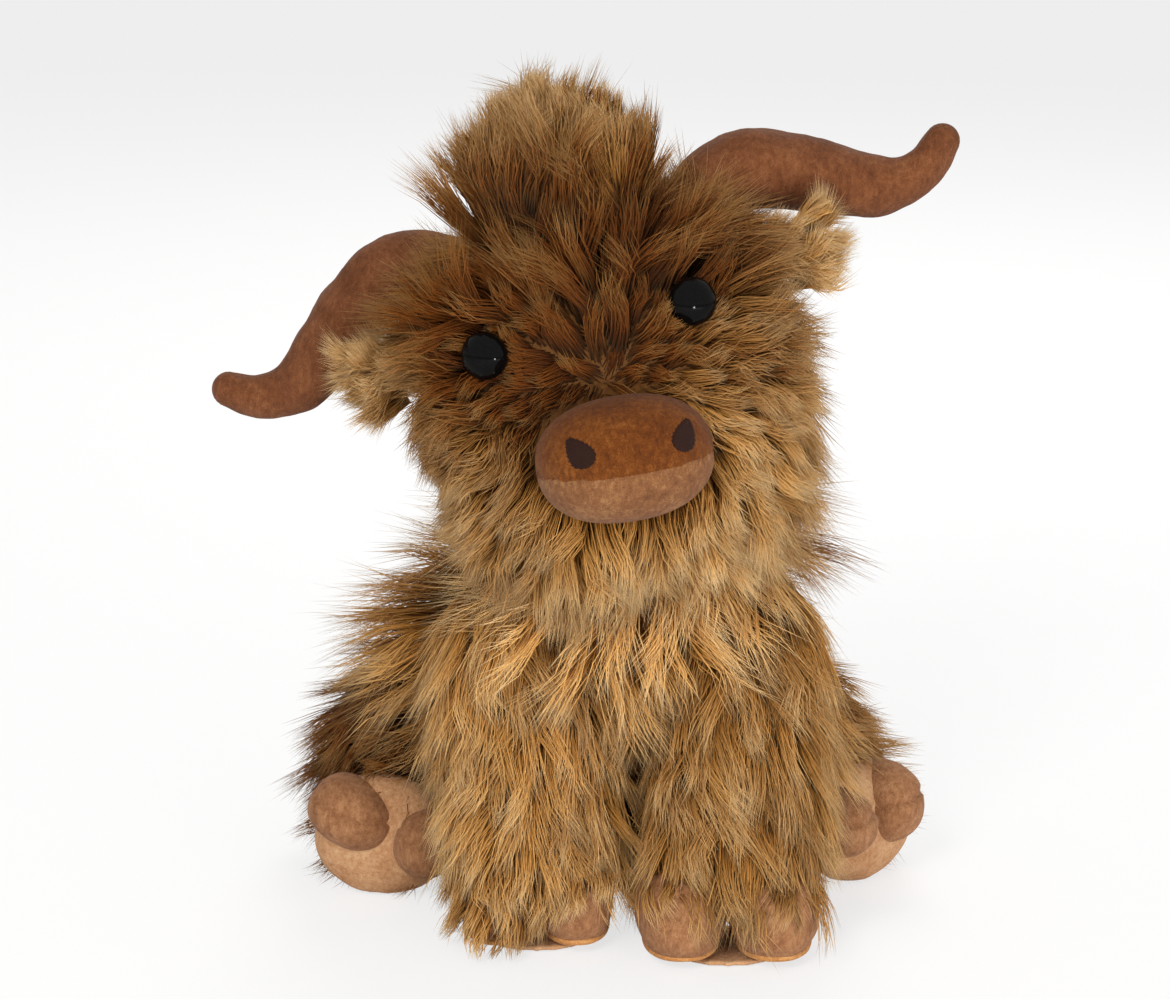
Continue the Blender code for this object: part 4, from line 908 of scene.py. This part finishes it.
def loft(name, rings, place=Matrix.Identity(4)):
    """One closed piece through rings of points, shut by a fan at each end."""
    made = bmesh.new()
    circles = [[made.verts.new(p) for p in circle] for circle in rings]
    band(made, circles)
    for circle in (circles[0], circles[-1]):
        cap(made, circle, made.verts.new(sum((v.co for v in circle), Vector()) / len(circle)))
    return piece_of(made, name, place)


for label, sign in SIDES:
    path = [(Vector((p.x * HORN_REACH, 0.0, p.y * HORN_LIFT)), p.z * HORN_RADIUS)
            for p in smooth_run(HORN_STOPS, 9)]
    tip, blunt = path[-1]
    onward = (tip - path[-2][0]).normalized()
    path += [(tip + onward * math.sin(a) * blunt, math.cos(a) * blunt)
             for a in map(math.radians, HORN_TIP_TURNS)]
    rings = []
    for step, (middle, radius) in enumerate(path):
        near, far = path[max(step - 1, 0)][0], path[min(step + 1, len(path) - 1)][0]
        way = (far - near).normalized()
        up = Vector((0.0, -1.0, 0.0)).cross(way).normalized()
        circle = []
        for k in range(HORN_COLUMNS):
            angle = 2.0 * math.pi * k / HORN_COLUMNS
            seam = math.exp(-((math.cos(angle) ** 2 - 1.0) / 0.045) ** 2)
            spot = middle + radius * (
                up * math.cos(angle) + Vector((0.0, 1.0, 0.0)) * math.sin(angle))
            lump = noise.noise(spot * 95.0 + Vector((sign * 3.0, 0.0, 0.0))) * HORN_LUMP
            lump += noise.noise(spot * 260.0) * HORN_DIMPLE
            share = min(1.0, radius / 0.006)
            spot += (spot - middle).normalized() * (lump - HORN_SEAM * seam) * share
            circle.append(Vector((spot.x * sign, spot.y, spot.z)))
        rings.append(circle)
    place = (head_place @ Matrix.Translation((sign * HORN_ROOT.x, HORN_ROOT.y, HORN_ROOT.z))
             @ Matrix.Rotation(HORN_LEAN[label], 4, "Y"))
    horn = loft("horn_" + label, rings, place)
    dress(horn, horn_velour, "horn_" + label, "horn_velour", "horn_cover_" + label,
          "horn_filling_" + label, fill=0.8)

# ---------------------------------------------------------------------------
# Ears: flat leaves of the long fur cloth under the horns, whose hair hangs
# out sideways in pale tufts.
# ---------------------------------------------------------------------------
EAR_LIFT = {"left": 0.002, "right": 0.006}
EAR_DRAWN_IN = 0.22
for label, sign in SIDES:
    body = "ear_" + label
    ear = bag("ear_skin_" + label, body, voxel=0.0012, rounds=6, inset=0.0035)
    spots, normals = surface(ear)
    local, local_out = in_head(spots), normals @ head_turn
    along = np.abs(local[:, 0]) - np.abs(local[:, 0]).min()
    drawn_in = spots - (along * EAR_DRAWN_IN * sign)[:, None] * head_turn[:, 0]
    along /= along.max()
    move(ear, drawn_in)
    ear.data.transform(
        Matrix.Translation(head_place.to_3x3() @ Vector((0.0, 0.0, EAR_LIFT[label]))))
    hang = rows(sign, -0.25 + local_out[:, 1] * 0.2,
                sign * 0.15 + local_out[:, 2] * 0.15) @ head_turn.T
    comb(ear, hang, 0.0160 + 0.0055 * along, 0.40 + 0.22 * along, rise=0.28, lie=-0.10)
    dress(ear, fur_ground, body, "long_fur", body, fill=0.3)
    grow("ear_hair_" + label, ear, body, 3200, 41 + int(sign), girth=0.00022, wave=0.18,
         stray=0.8, spacing=0.0026, pull=0.4)

# ---------------------------------------------------------------------------
# Front legs: fur tubes that hang from the shoulders.  The pile is combed
# straight down and ends in locks that lie over the hoof.
# ---------------------------------------------------------------------------
hind_velour = velour_paint("hind_velour", "6e452b", "966846", "b88c65", (1.0, 1.0, 0.5))
hoof_velour = velour_paint("hoof_velour", "70452b", "9a6c49", "be8e66", (1.0, 1.0, 0.5))
sole_velour = velour_paint("sole_velour", "9e6a41", "bf9169", "d5b188")
rim_velour = velour_paint("rim_velour", "9a5f31", "c08850", "dcae78")
TOE_HALF = (0.0146, 0.0252, 0.0148)
LEFT_TOE_HALF = (0.0124, 0.0236, 0.0142)
TOE_POWER = 2.4
TOE_GAP = 0.0002
RIM_RADIUS, RIM_HEIGHT, RIM_GAP = 0.0011, 0.0040, 0.0002
SOLE_LEVEL, SOLE_SHARE = 0.0018, 0.84
FOOT_SIDE, LEG_FRONT, TOE_AHEAD = 0.0305, 0.057, 0.0065
LOBE_LUMP = 0.0006
CREASE_DEPTH, CREASE_BACK, CREASE_WIDTH = 0.0010, 0.006, 0.0012
RIM_STEPS = 64


def lobe(name, half, power, place, press, low=None):
    """A stuffed lobe: a rounded form with soft lumps, flat where it stands."""
    rows_up, columns = 36, 64
    rings = []
    for row in range(1, rows_up):
        v = math.pi * row / rows_up - math.pi / 2
        circle = []
        for k in range(columns):
            u = 2.0 * math.pi * k / columns
            d = Vector((math.cos(v) * math.cos(u), math.cos(v) * math.sin(u), math.sin(v)))
            total = sum(abs(d[i] / half[i]) ** power for i in range(3))
            p = d * total ** (-1.0 / power)
            p = place @ (p + press(p))
            p += (place.to_3x3() @ d).normalized() * noise.noise(p * 120.0) * LOBE_LUMP
            if low is not None:
                p.z = max(p.z, low)
            circle.append(p)
        rings.append(circle)
    return loft(name, rings)


def piping(name, points, radius):
    """A closed cord of folded cloth along points."""
    rings = []
    for step, middle in enumerate(points):
        way = (points[(step + 1) % len(points)] - points[step - 1]).normalized()
        side = way.cross(Vector((0.0, 0.0, 1.0))).normalized()
        rings.append([middle + radius * (side * math.cos(a) + side.cross(way) * math.sin(a))
                      for a in (math.pi * k / 5 for k in range(10))])
    made = bmesh.new()
    circles = [[made.verts.new(p) for p in circle] for circle in rings]
    band(made, circles + circles[:1])
    return piece_of(made, name)


def front_crease(p):
    """The hoof's cloth is drawn in along one line over its top."""
    drawn = CREASE_DEPTH * math.exp(-((p.y + CREASE_BACK) / CREASE_WIDTH) ** 2)
    return Vector((0.0, 0.0, -drawn * (p.z > 0.0)))


for label, sign, reach in (("left", -1.0, 0.019), ("right", 1.0, 0.032)):
    body, filling = "front_leg_" + label, "front_leg_filling_" + label
    leg = bag("front_leg_skin_" + label, body, filling, inset=0.0015)
    dress(leg, fur_ground, body, "long_fur", body, filling, fill=0.7)
    # the pile grows on a skin over leg and hoof in one, so that it falls over the toes
    boot = bag("front_boot_" + label, body, filling, f"front_toe_outer_{label}",
               f"front_toe_inner_{label}", rounds=14, inset=-0.0008)
    spots, normals = surface(boot)
    if sign < 0:
        beyond = np.minimum(spots[:, 0] + FOOT_SIDE, 0.0) * smooth_step(0.045, 0.030, spots[:, 2])
        spots[:, 0] -= 0.16 * beyond
        boot.data.vertices.foreach_set("co", spots.ravel())
    drop = np.array((0.0, -0.22, -1.0)) + normals * np.array((0.18, 0.18, 0.0))
    over = smooth_step(0.3, 0.8, normals[:, 2]) * smooth_step(0.045, 0.035, spots[:, 2])
    drop -= normals * (np.sum(drop * normals, axis=1) * over)[:, None]
    low = smooth_step(0.045, 0.025, spots[:, 2])
    middle = Vector((sign * FOOT_SIDE, -LEG_FRONT - reach - TOE_AHEAD, TOE_HALF[2]))
    inner = smooth_step(-0.002, 0.003, (spots[:, 0] - middle.x) * -sign)
    hem = 0.006 + 0.014 * inner if sign < 0 else 0.022 + 0.002 * inner
    drop[:, 0] *= 1.0 - low
    fall = 0.032 - 0.008 * low
    if sign < 0:
        fall = np.minimum(fall, 0.005 + 0.62 * spots[:, 2])
    comb(boot, drop, fall, 0.62 - 0.08 * sign - 0.06 * low,
         rise=0.30 + 0.05 * low + 0.10 * over, lie=-0.04 - 0.22 * over,
         cover=smooth_step(hem, hem + 0.005, spots[:, 2]))
    grow("front_leg_fur_" + label, boot, body, 11400, 51 + int(sign), girth=0.00022, swirl=0.5,
         stray=0.42, pull=0.5, wave=0.13, spacing=0.0062)
    bpy.data.objects.remove(boot)
    for part, way in (("outer", sign), ("inner", -sign)):
        half = LEFT_TOE_HALF if sign < 0 else TOE_HALF
        centre = Vector((middle.x + way * (half[0] + TOE_GAP), middle.y, half[2]))
        toe = lobe(f"front_hoof_{part}_{label}", half, TOE_POWER, Matrix.Translation(centre),
                   front_crease, SOLE_LEVEL)
        dress(toe, hoof_velour, body, "hoof_velour", f"front_toe_{part}_{label}", fill=0.75)
        left_over = 1.0 - ((half[2] - RIM_HEIGHT) / half[2]) ** TOE_POWER
        loop = []
        for k in range(RIM_STEPS):
            a = 2.0 * math.pi * k / RIM_STEPS
            d = abs(math.cos(a) / half[0]) ** TOE_POWER + abs(math.sin(a) / half[1]) ** TOE_POWER
            far = (left_over / d) ** (1.0 / TOE_POWER) + RIM_GAP
            loop.append(Vector((centre.x + far * math.cos(a), centre.y + far * math.sin(a),
                                RIM_HEIGHT)))
        rim = piping(f"front_hoof_rim_{part}_{label}", loop, RIM_RADIUS)
        dress(rim, rim_velour, body, "sole_velour")
    sole = bag("front_hoof_sole_" + label, "front_sole_" + label, voxel=0.001, rounds=2)
    sole.data.transform(Matrix.Translation((middle.x, middle.y, 0.0))
                        @ Matrix.Diagonal((SOLE_SHARE, SOLE_SHARE, 1.0, 1.0))
                        @ Matrix.Translation((-middle.x, -middle.y, 0.0)))
    dress(sole, sole_velour, body, "sole_velour", "front_sole_" + label, fill=0.5)

# ---------------------------------------------------------------------------
# Hind legs: thick stuffed legs that lie on the ground beside the body, with
# the padded soles turned to the front and two toes over each.
# ---------------------------------------------------------------------------
HIND_ANKLE = 0.0215
PAD_AHEAD, PAD_POWER = 0.010, 2.3
PAD_HALF = (0.0225, 0.0120, 0.0205)
HIND_TOE_RISE, HIND_TOE_AHEAD, HIND_TOE_POWER = 0.0045, 0.0050, 2.2
HIND_TOE_INNER = (0.0110, 0.0147, 0.0114)
PAD_FOLD = 0.00018
TOE_FOLD, TOE_FOLD_RISE, TOE_FOLD_WIDTH = 0.0017, 0.0042, 0.0009
TOE_GATHER, TOE_GATHER_RISE, TOE_GATHER_WIDTH = 0.0004, 0.002, 0.003
HIND_SETS = (  # side, reach, splay, facing, roll, toes' inward shift, half size of the outer toe
    ("left", -1.0, 0.050, 22.0, 11.0, 19.0, 0.0068, (0.0152, 0.0147, 0.0114)),
    ("right", 1.0, 0.043, 50.0, 46.0, 4.0, 0.0060, (0.0120, 0.0152, 0.0140)),
)


def pad_press(p):
    """Fine folds run down the sole from where the toes are sewn on."""
    fan = math.sin(p.x * 1500.0 + 2.0 * math.sin(p.z * 300.0)) * PAD_FOLD
    return Vector((0.0, fan * max(0.0, p.z / PAD_HALF[2]) * (p.y < 0.0), 0.0))


def toe_press(p):
    """A sewn fold across the top of the toe, with small gathers under it."""
    fold = -TOE_FOLD * math.exp(-((p.z - TOE_FOLD_RISE) / TOE_FOLD_WIDTH) ** 2)
    gather = TOE_GATHER * math.sin(p.x * 1900.0) * math.exp(
        -((p.z - TOE_GATHER_RISE) / TOE_GATHER_WIDTH) ** 2)
    return Vector((0.0, -(fold + gather) * (p.y < 0.0), 0.5 * fold * (p.z > 0.0)))


for label, sign, reach, splay, facing, roll, shift, outer_half in HIND_SETS:
    body, filling = "hind_leg_" + label, "hind_leg_filling_" + label
    splay, facing, roll = math.radians(splay), math.radians(facing), math.radians(roll)
    hip = Vector(joints["hip_" + label]["pos_m"])
    level = Vector((sign * math.sin(splay), -math.cos(splay), 0.0))
    heel = hip + level * (reach + PAD_AHEAD)
    turn = Matrix.Rotation(sign * facing, 4, "Z")
    leg = bag("hind_leg_skin_" + label, body, filling, inset=0.002)
    spots, normals = surface(leg)
    drop = np.array((sign * 0.5, -0.4, -0.75)) + normals * np.array((0.35, 0.25, 0.0))
    way = (spots - np.array(hip)) @ np.array(level) / reach
    near = smooth_step(0.72, 0.92, way)[:, None]
    drop = drop * (1.0 - near) + (np.array(level) + np.array((sign * 0.15, 0.0, -0.35))) * near
    behind = np.maximum(smooth_step(0.0, 0.3, normals[:, 1]), smooth_step(0.7, 0.4, way))
    drop = outward_only(drop, normals, behind)
    # painted shade: the left hind leg's hair takes a near-black tone for the shade between its
    # foot and the front leg
    comb(leg, drop, 0.027 - 0.004 * near[:, 0], 0.04 if sign < 0 else 0.30,
         rise=0.38 - 0.06 * near[:, 0], lie=-0.06 - 0.12 * near[:, 0],
         cover=smooth_step(0.003, 0.012, spots[:, 2]) * smooth_step(1.22, 1.08, way))
    shrink = smooth_step(0.9, 1.1, way)[:, None] * np.array(level) * 0.006
    move(leg, spots - shrink)
    # the dark ground under the hind legs is painted shade as well
    dress(leg, dark_ground, body, "long_fur", body, filling, fill=0.7)
    grow("hind_leg_fur_" + label, leg, body, 9900, 61 + int(sign), parts=2)
    rolled = turn @ Matrix.Rotation(-sign * roll, 4, "Y")
    for part, side, half in (("outer", sign, outer_half), ("inner", -sign, HIND_TOE_INNER)):
        spot = Vector((heel.x, heel.y, HIND_ANKLE + HIND_TOE_RISE))
        spot += rolled.to_3x3() @ Vector(
            (side * (half[0] + TOE_GAP) - sign * shift, -HIND_TOE_AHEAD, 0.0))
        toe = lobe(f"hind_hoof_{part}_{label}", half, HIND_TOE_POWER,
                   Matrix.Translation(spot) @ rolled, toe_press)
        dress(toe, hind_velour, body, "hoof_velour", f"hind_toe_{part}_{label}", fill=0.75)
    heel.z = PAD_HALF[2] - 0.0005
    sole = lobe("hind_hoof_sole_" + label, PAD_HALF, PAD_POWER, Matrix.Translation(heel) @ turn,
                pad_press, 0.0003)
    dress(sole, sole_velour, body, "sole_velour", "hind_sole_" + label, fill=0.75)

# ---------------------------------------------------------------------------
# Tail: a thin fur tube at the back that ends in a tuft of darker hair.
# ---------------------------------------------------------------------------
for name, slot, seed, length, tone in (
    ("tail", "long_fur", 78, 0.009, 0.4),
    ("tail_tuft", "dark_fur", 83, 0.0135, 0.3),
):
    core = bag(name + "_skin", name, voxel=0.0011, rounds=6)
    comb(core, (0.0, 0.55, -0.85), length, tone, rise=0.35)
    dress(core, fur_ground, "tail", slot, name, fill=0.6)
    grow(name + "_hair", core, "tail", 2600, seed, spacing=0.004, girth=0.00026, parts=2)
